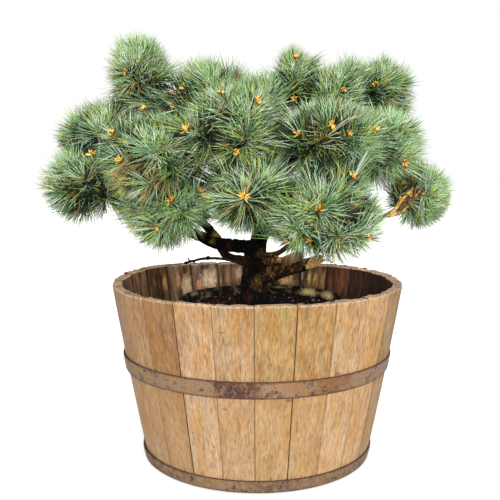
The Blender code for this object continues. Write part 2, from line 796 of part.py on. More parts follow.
def grow_sprays(shoot, others, blade, swollen_blade, pieces):
    """A shoot's sprays: one ahead to the surface of the mass's space, and others round the shoot.

    One that would leave the space, or meet a limb or spray, is skipped.
    """
    name, index, foot, tip, _ = shoot
    rng = shoot_rng(name, index + SHOOTS_PER_MASS)
    axis = (tip - foot).normalized()
    needled = min(SHOOT_LENGTH, 0.8 * (tip - foot).length)
    grown = 0
    for attempt in range(SPRAY_TRIES):
        root = tip - needled * ((attempt * GOLDEN_SHARE) % 1.0) * axis
        ahead = attempt == 0
        tilt = 0.0 if ahead else math.radians(float(rng.uniform(*SPRAY_TILTS)))
        radial = axis.orthogonal().normalized()
        radial.rotate(Matrix.Rotation(attempt * GOLDEN_ANGLE, 3, axis))
        direction = (math.cos(tilt) * axis + math.sin(tilt) * radial).normalized()
        full_length = AHEAD_SHARE * NEEDLE_REACH if ahead else SPRAY_LENGTH * float(rng.uniform(0.80, 1.0))
        length = spray_scale(name) * full_length
        matrix = spray_matrix(root, direction, axis, length)
        if grown == SPRAYS_PER_SHOOT or not all(in_space(name, matrix @ v.co) for v in blade.vertices):
            continue
        tree = search_tree(swollen_blade, matrix)
        if any(other.overlap(tree) for other in others):
            continue
        spray = bpy.data.objects.new("spray", blade)
        spray.matrix_world = matrix
        pieces.objects.link(spray)
        others.append(tree)
        grown += 1


def make_masses(trunk_cutter, cutters, collection):
    """All the foliage. Each mass keeps clear of the trunk, the boughs and the others' stems."""
    blade = spray_mesh(0.0)
    swollen_blade = spray_mesh(SPRAY_MARGIN)
    stems = {}
    for name, (carrier, _, _) in MASSES.items():
        route = stem_route(name)
        stems[name] = limb(name, route, 0, collection)
        if isinstance(carrier, float):
            boolean(stems[name], "DIFFERENCE", trunk_cutter)
            keep_main_shell(stems[name])
        add_cutter(name, route, 0, cutters)
    trees = {obj.name: search_tree(obj.data, obj.matrix_world) for obj in cutters.objects}
    pieces = {}
    shoots = []
    for name in MASSES:
        others = [tree for other, tree in trees.items() if other != cutter_name(name)]
        pieces[name] = new_collection(name + "_pieces")
        shoots += grow_twigs(name, others, pieces[name])
    sprays = []
    for shoot in shoots:
        name = shoot[0]
        limbs = [tree for other, tree in trees.items() if other != cutter_name(name)]
        twigs = [other[4] for other in shoots if other is not shoot]
        taken = [*limbs, *twigs, *sprays]
        before = len(taken)
        grow_sprays(shoot, taken, blade, swollen_blade, pieces[name])
        sprays += taken[before:]
    for name, stem in stems.items():
        fuse(stem, pieces[name])
        keep_main_shell(stem)
        paint(stem, NEEDLES)


def cutter_name(name):
    return name + "_clearance"


def add_cutter(name, route, resolution, cutters):
    """A swollen copy of a limb, which cuts foliage and other limbs clear of its bark."""
    swell = CLEARANCE if name == "trunk" else LIMB_MARGIN
    cutter = limb(cutter_name(name), route, resolution, cutters, swell)
    cutter.hide_render = True
    cutter.display_type = "WIRE"
    return cutter


def main():
    clear_scene()
    parts = new_collection("Potted dwarf pine")
    cutters = new_collection("Cutters")
    make_staves(parts)
    make_base_board(parts)
    make_hoop("middle_hoop", MIDDLE_HOOP, parts)
    make_hoop("lower_hoop", LOWER_HOOP, parts)
    make_nursery_pot(parts)
    make_soil(parts)
    make_trunk(parts)
    trunk_cutter = add_cutter("trunk", smooth_route(TRUNK, 2), 3, cutters)
    add_trunk_stumps(trunk_cutter, CLEARANCE)
    make_boughs(trunk_cutter, cutters, parts)
    make_masses(trunk_cutter, cutters, parts)


main()
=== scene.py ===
"""The looks of a dwarf pine in its nursery pot, set in a half-barrel planter."""

import math

import bmesh
import bpy
import numpy as np
from mathutils import Matrix, Vector, kdtree, noise


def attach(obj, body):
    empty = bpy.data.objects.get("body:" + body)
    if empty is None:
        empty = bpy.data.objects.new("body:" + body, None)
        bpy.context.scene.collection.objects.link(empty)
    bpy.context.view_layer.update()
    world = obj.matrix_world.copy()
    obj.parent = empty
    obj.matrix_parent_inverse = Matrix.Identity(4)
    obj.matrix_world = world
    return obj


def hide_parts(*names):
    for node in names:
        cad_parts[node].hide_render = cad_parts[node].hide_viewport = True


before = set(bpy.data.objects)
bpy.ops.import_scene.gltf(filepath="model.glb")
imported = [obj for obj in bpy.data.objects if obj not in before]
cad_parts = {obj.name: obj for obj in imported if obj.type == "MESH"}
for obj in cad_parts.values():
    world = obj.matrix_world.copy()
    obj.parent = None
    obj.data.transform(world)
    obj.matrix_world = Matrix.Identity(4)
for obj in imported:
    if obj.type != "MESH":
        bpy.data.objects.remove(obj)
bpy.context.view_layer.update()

# Planter, as in the model
TUB_HEIGHT = 0.360
TUB_FOOT_RADIUS = 0.2333
TUB_MIDDLE_RADIUS = 0.2685
TUB_TOP_RADIUS = 0.300
STAVE_COUNT = 25
STAVE_THICKNESS = 0.019
STAVE_PITCH = math.tau / STAVE_COUNT
FIRST_SEAM = math.radians(-1.0)
# Where the staves' tops stand proud of the rim: direction round the tub, half width and height
RIM_RISES = (
    (math.radians(236.0), math.radians(30.0), 0.0070),
    (math.radians(122.0), math.radians(24.0), 0.0035),
)
# One stave at the back has split off higher than the rest: how much, at both its edges and its middle
SPLIT_STAVE = 11
SPLIT_RISE = (0.034, 0.021, 0.004)
STAVE_EDGE_ROUND = 0.0007
STAVE_ROWS = 80
STAVE_COLUMNS = 30
BACK_RISE = 0.0030
RIM_FRAY = 0.0045
RIM_PALE = 0.0020
RIM_SEAM = 0.3
INNER_COLUMNS = 11

# Display colour of most staves, and of those at the front that differ from it
STAVE_TONE = (200, 160, 116)
STAVE_TONES = {
    20: (194, 152, 114),
    21: (200, 157, 113),
    22: (184, 137, 90),
    23: (216, 174, 132),
    24: (204, 163, 118),
    0: (202, 162, 108),
    1: (208, 164, 110),
    2: (226, 183, 137),
    3: (230, 182, 130),
}
RIM_TONE = (216, 184, 152)
SEAM_TONE = (70, 46, 28)
# How dark the seam at each stave's left edge is, where it differs from most
SEAM_STRENGTH = 0.55
SEAM_STRENGTHS = {0: 0.5, 1: 1.0, 2: 0.6, 3: 0.5, 21: 0.4, 22: 0.5, 23: 1.0, 24: 0.4}
# Display colours of the staves' inner faces: most of them, and some that differ. Staves 5 to 9, inside on the right,
# are darker: partly their own red-brown, partly painted shade from the crown
INNER_TONE = (100, 76, 56)
INNER_TONES = {
    5: (76, 44, 26),
    6: (42, 23, 14),
    7: (30, 17, 11),
    8: (38, 21, 13),
    9: (60, 36, 22),
    10: (88, 66, 42),
    11: (92, 68, 46),
    15: (98, 74, 52),
    16: (70, 50, 32),
    17: (84, 62, 40),
    18: (76, 54, 36),
}
# Knots, cracks and stains: stave, angle round the tub in degrees, height, half width, half length,
# strength and display colour
STAVE_MARKS = (
    (0, 9.8, 0.345, 0.011, 0.022, 0.60, (178, 168, 62)),
    (0, 0.6, 0.275, 0.004, 0.052, 0.55, (224, 186, 92)),
    (0, 5.4, 0.060, 0.007, 0.048, 0.50, (136, 100, 58)),
    (0, 5.8, 0.030, 0.005, 0.007, 0.60, (82, 68, 38)),
    (0, 12.2, 0.185, 0.012, 0.005, 0.70, (70, 62, 40)),
    (1, 16.0, 0.335, 0.007, 0.026, 0.35, (184, 168, 84)),
    (1, 20.6, 0.352, 0.009, 0.004, 0.60, (206, 136, 94)),
    (1, 21.7, 0.115, 0.012, 0.016, 0.40, (228, 202, 162)),
    (2, 28.6, 0.250, 0.007, 0.006, 0.55, (210, 192, 182)),
    (2, 29.4, 0.248, 0.0022, 0.0022, 0.70, (122, 100, 62)),
    (2, 31.5, 0.226, 0.012, 0.005, 0.60, (104, 74, 46)),
    (22, -31.6, 0.310, 0.003, 0.060, 0.55, (112, 74, 40)),
    (22, -36.0, 0.290, 0.004, 0.060, 0.40, (128, 84, 44)),
    (22, -40.0, 0.270, 0.004, 0.050, 0.45, (210, 162, 110)),
    (22, -37.0, 0.090, 0.040, 0.110, 0.55, (214, 172, 124)),
    (23, -27.6, 0.112, 0.0036, 0.0030, 0.75, (92, 68, 46)),
    (23, -28.8, 0.100, 0.007, 0.011, 0.45, (182, 164, 144)),
    (23, -27.0, 0.300, 0.005, 0.060, 0.40, (168, 120, 74)),
    (23, -18.3, 0.091, 0.0024, 0.0024, 0.80, (66, 50, 34)),
    (23, -22.0, 0.340, 0.014, 0.008, 0.35, (168, 108, 64)),
    (23, -20.5, 0.312, 0.008, 0.006, 0.40, (222, 196, 172)),
    (24, -12.6, 0.350, 0.009, 0.016, 0.50, (176, 152, 112)),
    (24, -8.3, 0.330, 0.010, 0.026, 0.45, (226, 168, 92)),
    (24, -7.2, 0.273, 0.030, 0.034, 0.45, (224, 188, 158)),
    (24, -12.2, 0.3125, 0.010, 0.0026, 0.60, (136, 86, 48)),
    (24, -12.6, 0.168, 0.009, 0.0022, 0.80, (104, 58, 32)),
    (24, -12.2, 0.150, 0.008, 0.010, 0.45, (226, 164, 92)),
    (24, -7.2, 0.055, 0.0014, 0.036, 0.65, (96, 64, 36)),
    (24, -7.4, 0.045, 0.012, 0.018, 0.35, (220, 196, 182)),
)
# Pale patches of painted dappled sunlight, and pale streaks, on the inner faces, in the same terms but as base colours
INNER_SUNLIGHT_AND_STREAKS = (
    (14, 204.9, 0.328, 0.034, 0.034, 1.0, (255, 224, 184)),
    (14, 211.5, 0.314, 0.010, 0.018, 0.90, (240, 176, 120)),
    (15, 218.0, 0.316, 0.022, 0.034, 1.0, (255, 220, 172)),
    (15, 223.5, 0.332, 0.007, 0.026, 0.85, (236, 178, 116)),
    (16, 232.0, 0.330, 0.011, 0.030, 0.85, (232, 172, 106)),
    (13, 190.0, 0.338, 0.016, 0.022, 0.70, (226, 186, 148)),
    (12, 176.0, 0.334, 0.012, 0.026, 0.70, (230, 182, 132)),
    (11, 166.0, 0.322, 0.018, 0.016, 0.90, (252, 206, 136)),
    (11, 163.0, 0.326, 0.009, 0.020, 0.80, (244, 198, 144)),
    (11, 162.0, 0.384, 0.030, 0.028, 0.80, (206, 160, 124)),
    (10, 156.6, 0.338, 0.0035, 0.018, 0.95, (236, 240, 244)),
    (10, 152.5, 0.334, 0.006, 0.024, 0.75, (212, 216, 144)),
    (10, 149.5, 0.334, 0.006, 0.018, 0.80, (252, 172, 86)),
)
# Pale khaki patches on the nursery pot: place, reach, strength and display colour
POT_MARKS = (
    ((0.1195, 0.1270, 0.315), (0.032, 0.032, 0.012), 0.95, (228, 204, 144)),
    ((0.1580, 0.0790, 0.315), (0.024, 0.036, 0.012), 0.95, (222, 200, 144)),
    ((0.0500, 0.1640, 0.321), (0.026, 0.012, 0.004), 0.70, (150, 138, 100)),
    ((-0.1400, 0.0720, 0.320), (0.022, 0.022, 0.006), 0.70, (140, 124, 98)),
)

HOOP_THICKNESS = 0.003
MIDDLE_HOOP = (0.190, 0.032, math.radians(-14.0))
LOWER_HOOP = (0.002, 0.024, math.radians(172.0))
LAP_ANGLE = math.radians(9.0)
LAP_STAND = 0.0022
LAP_INSET = 0.0008
RIVET_RADIUS = 0.0048
STRAP_ROWS = 9
# Where a strap stands off the wood: direction round the tub, half width and distance
STRAP_GAP = (math.radians(-70.0), math.radians(15.0), 0.0022)
# Display colours round each strap: angle in degrees and colour
MIDDLE_RUST = (
    (-180.0, (140, 104, 78)),
    (-100.0, (140, 104, 78)),
    (-60.0, (154, 124, 94)),
    (-40.0, (166, 132, 96)),
    (-16.0, (170, 134, 98)),
    (-14.0, (102, 58, 28)),
    (-2.0, (106, 58, 30)),
    (3.0, (182, 138, 98)),
    (15.0, (178, 134, 96)),
    (22.0, (160, 110, 68)),
    (34.0, (156, 104, 58)),
    (41.0, (176, 138, 106)),
    (75.0, (160, 132, 114)),
    (180.0, (140, 104, 78)),
)
LOWER_RUST = (
    (-180.0, (130, 98, 70)),
    (-50.0, (134, 100, 72)),
    (-22.0, (160, 124, 80)),
    (-5.0, (148, 116, 78)),
    (3.0, (124, 92, 66)),
    (24.0, (150, 118, 82)),
    (50.0, (144, 114, 84)),
    (180.0, (130, 98, 70)),
)

POT_OFFSET = 0.010
POT_RIM_HEIGHT = 0.325
POT_TOP_RADIUS = 0.170
POT_FOOT_RADIUS = 0.132
POT_WALL = 0.0026
POT_LIP = 0.0045
POT_LIP_DEPTH = 0.010
BOARD_THICKNESS = 0.022
SOIL_TOP = 0.3125
SOIL_EDGE_DROP = 0.007

# Limbs: control points from the base out, with the radius at each
TRUNK = (
    ((-0.006, 0.000, 0.3000), 0.0400),
    ((-0.006, 0.000, 0.3160), 0.0330),
    ((-0.007, 0.000, 0.3300), 0.0280),
    ((-0.009, 0.000, 0.350), 0.0260),
    ((-0.006, 0.000, 0.385), 0.0250),
    ((-0.004, 0.000, 0.415), 0.0235),
    ((0.001, 0.000, 0.437), 0.0185),
    ((0.010, 0.001, 0.478), 0.0160),
    ((0.018, 0.003, 0.530), 0.0140),
    ((0.027, 0.004, 0.620), 0.0110),
    ((0.041, 0.006, 0.675), 0.0085),
    ((0.053, 0.009, 0.710), 0.0060),
)
STUB = (
    ((0.002, -0.004, 0.4010), 0.0115),
    ((0.030, -0.019, 0.4040), 0.0104),
    ((0.050, -0.025, 0.4050), 0.0088),
)
DEAD_TWIG = (
    ((-0.010, -0.006, 0.3930), 0.0062),
    ((-0.030, -0.008, 0.3976), 0.0048),
    ((-0.058, -0.006, 0.4050), 0.0036),
    ((-0.078, -0.002, 0.4074), 0.0032),
    ((-0.104, 0.004, 0.4074), 0.0031),
    ((-0.123, 0.009, 0.4044), 0.0029),
    ((-0.140, 0.013, 0.3997), 0.0028),
    ((-0.151, 0.016, 0.3967), 0.0024),
)
SNAG = (((0.116, -0.060, 0.4040), 0.0042), ((0.154, -0.070, 0.4085), 0.0013))
BOUGHS = {
    "left_lower_bough": (
        ((-0.002, 0.000, 0.4300), 0.0150),
        ((-0.030, 0.000, 0.4328), 0.0142),
        ((-0.055, -0.002, 0.4352), 0.0138),
        ((-0.078, -0.006, 0.4388), 0.0128),
        ((-0.098, -0.012, 0.4455), 0.0122),
        ((-0.117, -0.018, 0.4560), 0.0116),
        ((-0.137, -0.024, 0.4642), 0.0106),
        ((-0.199, -0.030, 0.4880), 0.0078),
        ((-0.252, -0.036, 0.5150), 0.0056),
    ),
    "left_upper_bough": (
        ((-0.005, 0.000, 0.4040), 0.0090),
        ((-0.030, 0.006, 0.4046), 0.0084),
        ((-0.053, 0.014, 0.4077), 0.0080),
        ((-0.070, 0.022, 0.4150), 0.0084),
        ((-0.079, 0.028, 0.4300), 0.0090),
        ((-0.087, 0.029, 0.4481), 0.0095),
        ((-0.100, 0.028, 0.4642), 0.0093),
        ((-0.135, 0.026, 0.5028), 0.0080),
        ((-0.151, 0.026, 0.5230), 0.0073),
        ((-0.196, 0.024, 0.5800), 0.0060),
        ((-0.229, 0.016, 0.6550), 0.0050),
        ((-0.235, 0.012, 0.6930), 0.0045),
    ),
    "left_middle_bough": (
        ((0.016, 0.003, 0.515), 0.0080),
        ((-0.060, 0.030, 0.535), 0.0070),
        ((-0.160, 0.074, 0.580), 0.0056),
        ((-0.258, 0.066, 0.618), 0.0045),
    ),
    "right_front_bough": (
        ((0.000, -0.004, 0.4090), 0.0068),
        ((0.022, -0.018, 0.4168), 0.0056),
        ((0.041, -0.030, 0.4215), 0.0050),
        ((0.060, -0.052, 0.4370), 0.0046),
        ((0.084, -0.092, 0.4600), 0.0044),
        ((0.098, -0.114, 0.4740), 0.0042),
    ),
    "right_lower_bough": (
        ((0.005, 0.000, 0.457), 0.0085),
        ((0.060, 0.010, 0.466), 0.0075),
        ((0.150, 0.004, 0.476), 0.0062),
        ((0.235, -0.012, 0.487), 0.0050),
        ((0.262, -0.014, 0.497), 0.0046),
    ),
    "right_middle_bough": (
        ((0.017, 0.002, 0.520), 0.0075),
        ((0.080, 0.014, 0.552), 0.0064),
        ((0.150, -0.004, 0.586), 0.0052),
        ((0.196, -0.024, 0.608), 0.0046),
    ),
    "right_upper_bough": (
        ((0.023, 0.004, 0.580), 0.0075),
        ((0.088, 0.034, 0.622), 0.0064),
        ((0.168, 0.056, 0.668), 0.0052),
        ((0.214, 0.054, 0.702), 0.0046),
    ),
    "back_left_bough": (
        ((0.008, 0.001, 0.470), 0.0090),
        ((-0.040, 0.056, 0.500), 0.0076),
        ((-0.098, 0.112, 0.556), 0.0058),
        ((-0.140, 0.148, 0.594), 0.0048),
    ),
    "back_right_bough": (
        ((0.012, 0.002, 0.490), 0.0085),
        ((0.056, 0.052, 0.516), 0.0070),
        ((0.104, 0.104, 0.554), 0.0056),
        ((0.146, 0.138, 0.582), 0.0048),
    ),
}
SAWN_BOUGH = (
    ((-0.009, 0.000, 0.3520), 0.0110),
    ((0.010, -0.008, 0.3618), 0.0098),
    ((0.032, -0.018, 0.3712), 0.0094),
    ((0.053, -0.028, 0.3812), 0.0096),
    ((0.081, -0.042, 0.3930), 0.0106),
    ((0.109, -0.054, 0.4050), 0.0114),
    ((0.130, -0.064, 0.4130), 0.0104),
)

# Finer limbs of the bark skin: the dead twig's knot and side twigs, and the tan limbs at the far right
TWIGLETS = (
    (((-0.1010, 0.004, 0.4066), 0.0034), ((-0.1045, 0.003, 0.4080), 0.0052), ((-0.1075, 0.004, 0.4068), 0.0034)),
    (((-0.1425, 0.013, 0.3990), 0.0024), ((-0.1455, 0.012, 0.4040), 0.0018), ((-0.1462, 0.012, 0.4088), 0.0014)),
    (((-0.1490, 0.015, 0.3975), 0.0030), ((-0.1530, 0.014, 0.3960), 0.0030), ((-0.1545, 0.014, 0.3985), 0.0020)),
    (((-0.1360, 0.012, 0.4000), 0.0022), ((-0.1330, 0.010, 0.3950), 0.0017), ((-0.1315, 0.010, 0.3925), 0.0013)),
    (
        ((0.2480, -0.012, 0.4905), 0.0044),
        ((0.2795, -0.014, 0.5057), 0.0042),
        ((0.2962, -0.016, 0.5286), 0.0040),
        ((0.3170, -0.018, 0.5513), 0.0037),
        ((0.3306, -0.020, 0.5698), 0.0032),
    ),
    (
        ((0.2700, -0.014, 0.4960), 0.0030),
        ((0.2982, -0.020, 0.5062), 0.0030),
        ((0.3212, -0.022, 0.5351), 0.0028),
        ((0.3441, -0.024, 0.5607), 0.0025),
    ),
)
GOLDEN_TWIGLETS = ("twiglet_4", "twiglet_5")
BARK_VOXEL = 0.0016
# How far each limb's bark is tan instead of dark, and which limbs have rings round them
TAN_LIMBS = {
    "right_front_bough": 0.75,
    "right_lower_bough": 0.85,
    "sawn_bough": 0.95,
    "stub": 1.0,
    "dead_twig": 0.25,
    "left_upper_bough": 0.20,
}
# How far along a limb its tan bark has fully set in
TAN_RISE = 0.035
RINGED_LIMBS = ("sawn_bough", "right_front_bough")
RING_SPACING = 0.006
RING_HEIGHT = 0.0007
# Yellow lichen: middle, reach and strength
LICHEN_SPOTS = (
    ((-0.099, -0.006, 0.442), 0.020, 1.0),
    ((-0.082, 0.012, 0.452), 0.020, 0.9),
    ((-0.143, 0.005, 0.478), 0.014, 0.9),
)
# Sawn ends: middle, the way each faces, and how far from the middle it is cut
CUTS = (
    ((0.0440, -0.0310, 0.4060), (0.30, -0.85, 0.43), 0.013),
    ((0.1180, -0.0585, 0.4085), (0.257, -0.927, -0.273), 0.032),
)

# Foliage: what carries each mass, its middle, and its half widths along X, Y and Z
MASSES = {
    "top_left_mass": ("left_upper_bough", (-0.244, 0.000, 0.787), (0.071, 0.090, 0.100)),
    "upper_left_mass": (0.610, (-0.085, 0.030, 0.743), (0.112, 0.104, 0.102)),
    "far_left_upper_mass": ("left_middle_bough", (-0.333, 0.050, 0.657), (0.117, 0.114, 0.098)),
    "far_left_lower_mass": ("left_lower_bough", (-0.343, -0.050, 0.561), (0.107, 0.108, 0.091)),
    "left_front_mass": (0.540, (-0.204, -0.150, 0.618), (0.114, 0.112, 0.101)),
    "left_low_mass": (0.480, (-0.184, -0.090, 0.519), (0.102, 0.096, 0.096)),
    "front_low_mass": (0.500, (-0.018, -0.160, 0.547), (0.098, 0.109, 0.092)),
    "front_upper_mass": (0.575, (-0.050, -0.160, 0.665), (0.111, 0.109, 0.099)),
    "centre_top_mass": (0.650, (-0.010, -0.035, 0.712), (0.089, 0.096, 0.089)),
    "top_tuft_mass": ("trunk", (0.075, 0.018, 0.772), (0.055, 0.068, 0.088)),
    "right_front_low_mass": ("right_front_bough", (0.122, -0.160, 0.512), (0.131, 0.112, 0.105)),
    "right_front_upper_mass": (0.560, (0.138, -0.140, 0.651), (0.114, 0.112, 0.096)),
    "right_top_mass": (0.640, (0.172, 0.005, 0.747), (0.082, 0.098, 0.100)),
    "right_spike_mass": ("right_upper_bough", (0.257, 0.050, 0.754), (0.091, 0.096, 0.098)),
    "far_right_upper_mass": ("right_middle_bough", (0.250, -0.050, 0.642), (0.096, 0.106, 0.096)),
    "far_right_low_mass": ("right_lower_bough", (0.331, -0.010, 0.540), (0.080, 0.102, 0.082)),
    "back_left_mass": ("back_left_bough", (-0.210, 0.210, 0.650), (0.125, 0.125, 0.108)),
    "back_centre_mass": (0.555, (0.010, 0.225, 0.640), (0.125, 0.125, 0.116)),
    "back_right_mass": ("back_right_bough", (0.200, 0.200, 0.630), (0.121, 0.125, 0.108)),
}
SEED = 9514
SHOOTS_PER_MASS = 7
SIDE_SHOOTS = 3
HEART_SHARE = 0.35
SHOOT_LIFT = 0.12
SHOOT_LEAN = 0.40
STEM_RADIUS = 0.0042
STEM_TIP_RADIUS = 0.0028
FIRST_TWIG = 1.6
TWIG_RADIUS = 0.0030
TWIG_TIP_RADIUS = 0.0017
NEEDLE_REACH = 0.056
SPRAY_LENGTH = 0.086
GOLDEN_SHARE = (math.sqrt(5.0) - 1.0) / 2.0
GOLDEN_ANGLE = math.tau * (1.0 - GOLDEN_SHARE)
CLEARANCE = 0.0003

# Needles, in bundles along each shoot's last stretch
NEEDLE_LENGTH = 0.086
NEEDLE_RADIUS = 0.00068
BUNDLES_PER_SHOOT = 150
BUNDLES_PER_SIDE_SHOOT = 88
NEEDLES_PER_BUNDLE = 2
BUNDLE_SPREAD = 0.12
NEEDLED_LENGTH = 0.052
TIP_TILT = 20.0
BASE_TILT = 68.0
UPTURN = 0.10
SHOOT_RISE = 0.14
TRIM_STEPS = (1.0, 0.9, 0.8, 0.7, 0.6)
MOST_PER_PIECE = 21000
# Where the photo shows sky or bare twigs through the crown: middle and radius
BARE_SPOTS = (
    ((0.262, -0.075, 0.503), 0.028),
    ((0.285, -0.062, 0.515), 0.034),
    ((0.306, -0.066, 0.540), 0.032),
    ((0.325, -0.066, 0.560), 0.026),
    ((0.132, 0.010, 0.812), 0.016),
    ((0.215, 0.020, 0.822), 0.012),
)
# Where shoots have died: middle and radius
DEAD_SPOTS = (
    ((-0.218, -0.200, 0.570), 0.044),
    ((-0.170, -0.170, 0.560), 0.026),
    ((-0.300, -0.110, 0.515), 0.030),
    ((0.110, -0.220, 0.650), 0.018),
    ((0.090, -0.195, 0.690), 0.020),
    ((0.115, -0.200, 0.655), 0.020),
)
# Where the crown has more dark needles than elsewhere as painted shade, or fewer as painted light: middle, radius and
# how many times as many
PAINTED_LIGHT_AND_SHADE_SPOTS = (
    ((0.116, -0.170, 0.680), 0.070, 3.4),
    ((0.121, -0.220, 0.540), 0.080, 1.9),
    ((0.248, -0.050, 0.730), 0.070, 2.1),
    ((-0.022, -0.200, 0.545), 0.070, 1.5),
    ((-0.136, -0.050, 0.730), 0.060, 1.5),
    ((-0.340, -0.100, 0.570), 0.080, 1.5),
    ((-0.242, -0.030, 0.800), 0.090, 0.4),
    ((-0.163, -0.150, 0.530), 0.070, 0.45),
    ((0.236, -0.120, 0.635), 0.080, 0.25),
    ((0.329, -0.050, 0.553), 0.080, 0.4),
)
# A needle whose tip lies deeper in the crown than this share of a mass's reach is in the shade, and is far more likely
# to get the dark colour, as painted shade
SHADE_DEPTH = 0.84
# Where tufts of neighbouring masses meet beyond both: middle and half widths
MEETINGS = (
    ((-0.170, 0.010, 0.735), (0.060, 0.070, 0.078)),
    ((0.020, -0.020, 0.752), (0.060, 0.060, 0.060)),
    ((-0.225, 0.000, 0.725), (0.055, 0.060, 0.055)),
    ((-0.190, 0.020, 0.766), (0.050, 0.060, 0.044)),
)
# Each shoot's needles end at its own share of a mass's reach
REACH_SHARES = (0.86, 1.08)

# Buds, in a star at each main shoot's tip
BUD_LENGTH = 0.014
BUD_RADIUS = 0.0016
BUD_TILTS = (24.0, 86.0)
# A cone in front of each star that needles stay out of: its length, foot and widening
BUD_VIEW = 0.080
BUD_VIEW_RADIUS = 0.007
BUD_VIEW_SPREAD = 0.20
# Places on bare limbs that show, kept clear of needles in the same way
OPEN_VIEWS = (
    (0.2795, -0.014, 0.5057),
    (0.2879, -0.015, 0.5170),
    (0.2962, -0.016, 0.5286),
    (0.3066, -0.017, 0.5400),
    (0.3170, -0.018, 0.5513),
    (0.3060, -0.021, 0.5150),
    (0.3212, -0.022, 0.5351),
    (0.3330, -0.023, 0.5480),
)
# Main shoots that point this far away from the front bear stars of their own
AWAY = -0.2
# Shoots whose buds show at the front: the mass each grows in, its tip, and the size of its star
FRONT_SHOOTS = (
    ("front_upper_mass", (-0.126, -0.192, 0.663), 1.15),
    ("left_front_mass", (-0.246, -0.195, 0.609), 0.90),
    ("far_left_lower_mass", (-0.323, -0.083, 0.621), 0.90),
    ("left_low_mass", (-0.164, -0.137, 0.533), 1.10),
    ("left_low_mass", (-0.108, -0.117, 0.548), 0.95),
    ("front_low_mass", (-0.024, -0.219, 0.543), 1.10),
    ("upper_left_mass", (-0.148, 0.002, 0.760), 0.85),
    ("front_upper_mass", (-0.064, -0.202, 0.727), 0.65),
    ("top_left_mass", (-0.261, -0.045, 0.784), 0.70),
    ("left_front_mass", (-0.259, -0.198, 0.657), 0.70),
    ("left_front_mass", (-0.207, -0.168, 0.702), 0.55),
    ("top_tuft_mass", (0.075, -0.007, 0.737), 0.80),
    ("top_tuft_mass", (0.079, -0.007, 0.819), 0.60),
    ("right_front_low_mass", (0.110, -0.220, 0.520), 1.20),
    ("right_front_low_mass", (0.173, -0.205, 0.579), 0.85),
    ("front_upper_mass", (-0.001, -0.201, 0.712), 0.80),
    ("right_front_upper_mass", (0.077, -0.153, 0.658), 0.85),
    ("right_front_upper_mass", (0.132, -0.197, 0.670), 0.80),
    ("right_front_upper_mass", (0.165, -0.195, 0.656), 0.60),
    ("right_front_upper_mass", (0.212, -0.180, 0.662), 0.85),
    ("far_right_upper_mass", (0.286, -0.089, 0.605), 0.80),
    ("right_spike_mass", (0.242, 0.001, 0.766), 0.75),
    ("right_top_mass", (0.170, -0.049, 0.750), 0.60),
    ("right_front_low_mass", (0.201, -0.213, 0.473), 0.60),
    ("right_front_low_mass", (0.095, -0.184, 0.463), 0.60),
    ("front_upper_mass", (-0.038, -0.197, 0.624), 0.60),
    ("far_right_low_mass", (0.306, -0.056, 0.542), 0.60),
    ("upper_left_mass", (-0.168, 0.020, 0.752), 0.50),
    ("upper_left_mass", (-0.172, -0.010, 0.720), 0.50),
    ("right_front_low_mass", (0.056, -0.170, 0.462), 0.45),
    ("right_front_low_mass", (0.150, -0.180, 0.452), 0.45),
    ("left_low_mass", (-0.190, -0.130, 0.480), 0.45),
)
# Plain shoots that fill the crown between two masses: the mass each grows in and its tip
FILLING_SHOOTS = (
    ("upper_left_mass", (-0.198, 0.020, 0.774)),
    ("upper_left_mass", (-0.182, 0.030, 0.784)),
    ("upper_left_mass", (-0.166, 0.030, 0.775)),
    ("upper_left_mass", (-0.213, 0.010, 0.757)),
    ("top_left_mass", (-0.201, 0.010, 0.789)),
    ("upper_left_mass", (-0.237, 0.000, 0.735)),
    ("far_left_upper_mass", (-0.269, 0.020, 0.737)),
    ("upper_left_mass", (-0.183, 0.000, 0.751)),
)
BUD_TONES = {"orange": (226, 168, 56), "tan": (238, 204, 98), "russet": (126, 76, 40), "brown": (140, 98, 60)}

# Light, and how much brighter than its base colour a surface that faces it looks
WORLD_LIGHT = 1.0
# Lamps: where each one's light comes from, its strength, and how wide it looks
LAMPS = (
    ((0.08, -0.80, 0.46), 3.2, math.radians(18.0)),
    ((-0.12, -0.98, 0.15), 1.4, math.radians(8.0)),
)
LIGHT_LEVEL = 2.50
RIM_LIGHT = 1.60
# The same for the planter's inner faces, which get less light, and for the needles
INNER_LIGHT = 0.56
NEEDLE_LIGHT = 1.15

# Camera, fitted to the planter's outline in the photo
CAMERA_PLACE = (0.0, -1.5, 0.5846)
CAMERA_PITCH = math.radians(6.059)
CAMERA_LENS = 51.71
CAMERA_SHIFT = -0.0146


def colour(red, green, blue):
    """A linear colour from its 0 to 255 display values."""
    shares = [part / 255.0 for part in (red, green, blue)]
    return (*[s / 12.92 if s <= 0.04045 else ((s + 0.055) / 1.055) ** 2.4 for s in shares], 1.0)


def surface(red, green, blue, level=LIGHT_LEVEL):
    """The base colour of a surface that has these display values in this level of light."""
    return (*[min(1.0, part / level) for part in colour(red, green, blue)[:3]], 1.0)


def shifted(tone, *factors):
    """A display colour with each part multiplied."""
    return [min(255.0, part * factor) for part, factor in zip(tone, factors)]


# Needle colours: name, display colour and share of the bundles
NEEDLE_COLOURS = (
    ("pale", (204, 224, 188), 0.20),
    ("glaucous", (142, 180, 140), 0.26),
    ("green", (112, 154, 72), 0.19),
    ("yellow", (180, 196, 86), 0.12),
    # Dark needles: old ones, and painted shade deep in the crown
    ("deep", (24, 42, 12), 0.23),
    ("tan", (196, 164, 100), 0.035),
    ("brown", (140, 90, 46), 0.015),
)


def add_node(tree, kind, inputs=None, **settings):
    made = tree.nodes.new(kind)
    for key, value in settings.items():
        setattr(made, key, value)
    for key, value in (inputs or {}).items():
        if isinstance(value, bpy.types.NodeSocket):
            tree.links.new(value, made.inputs[key])
        else:
            made.inputs[key].default_value = value
    return made


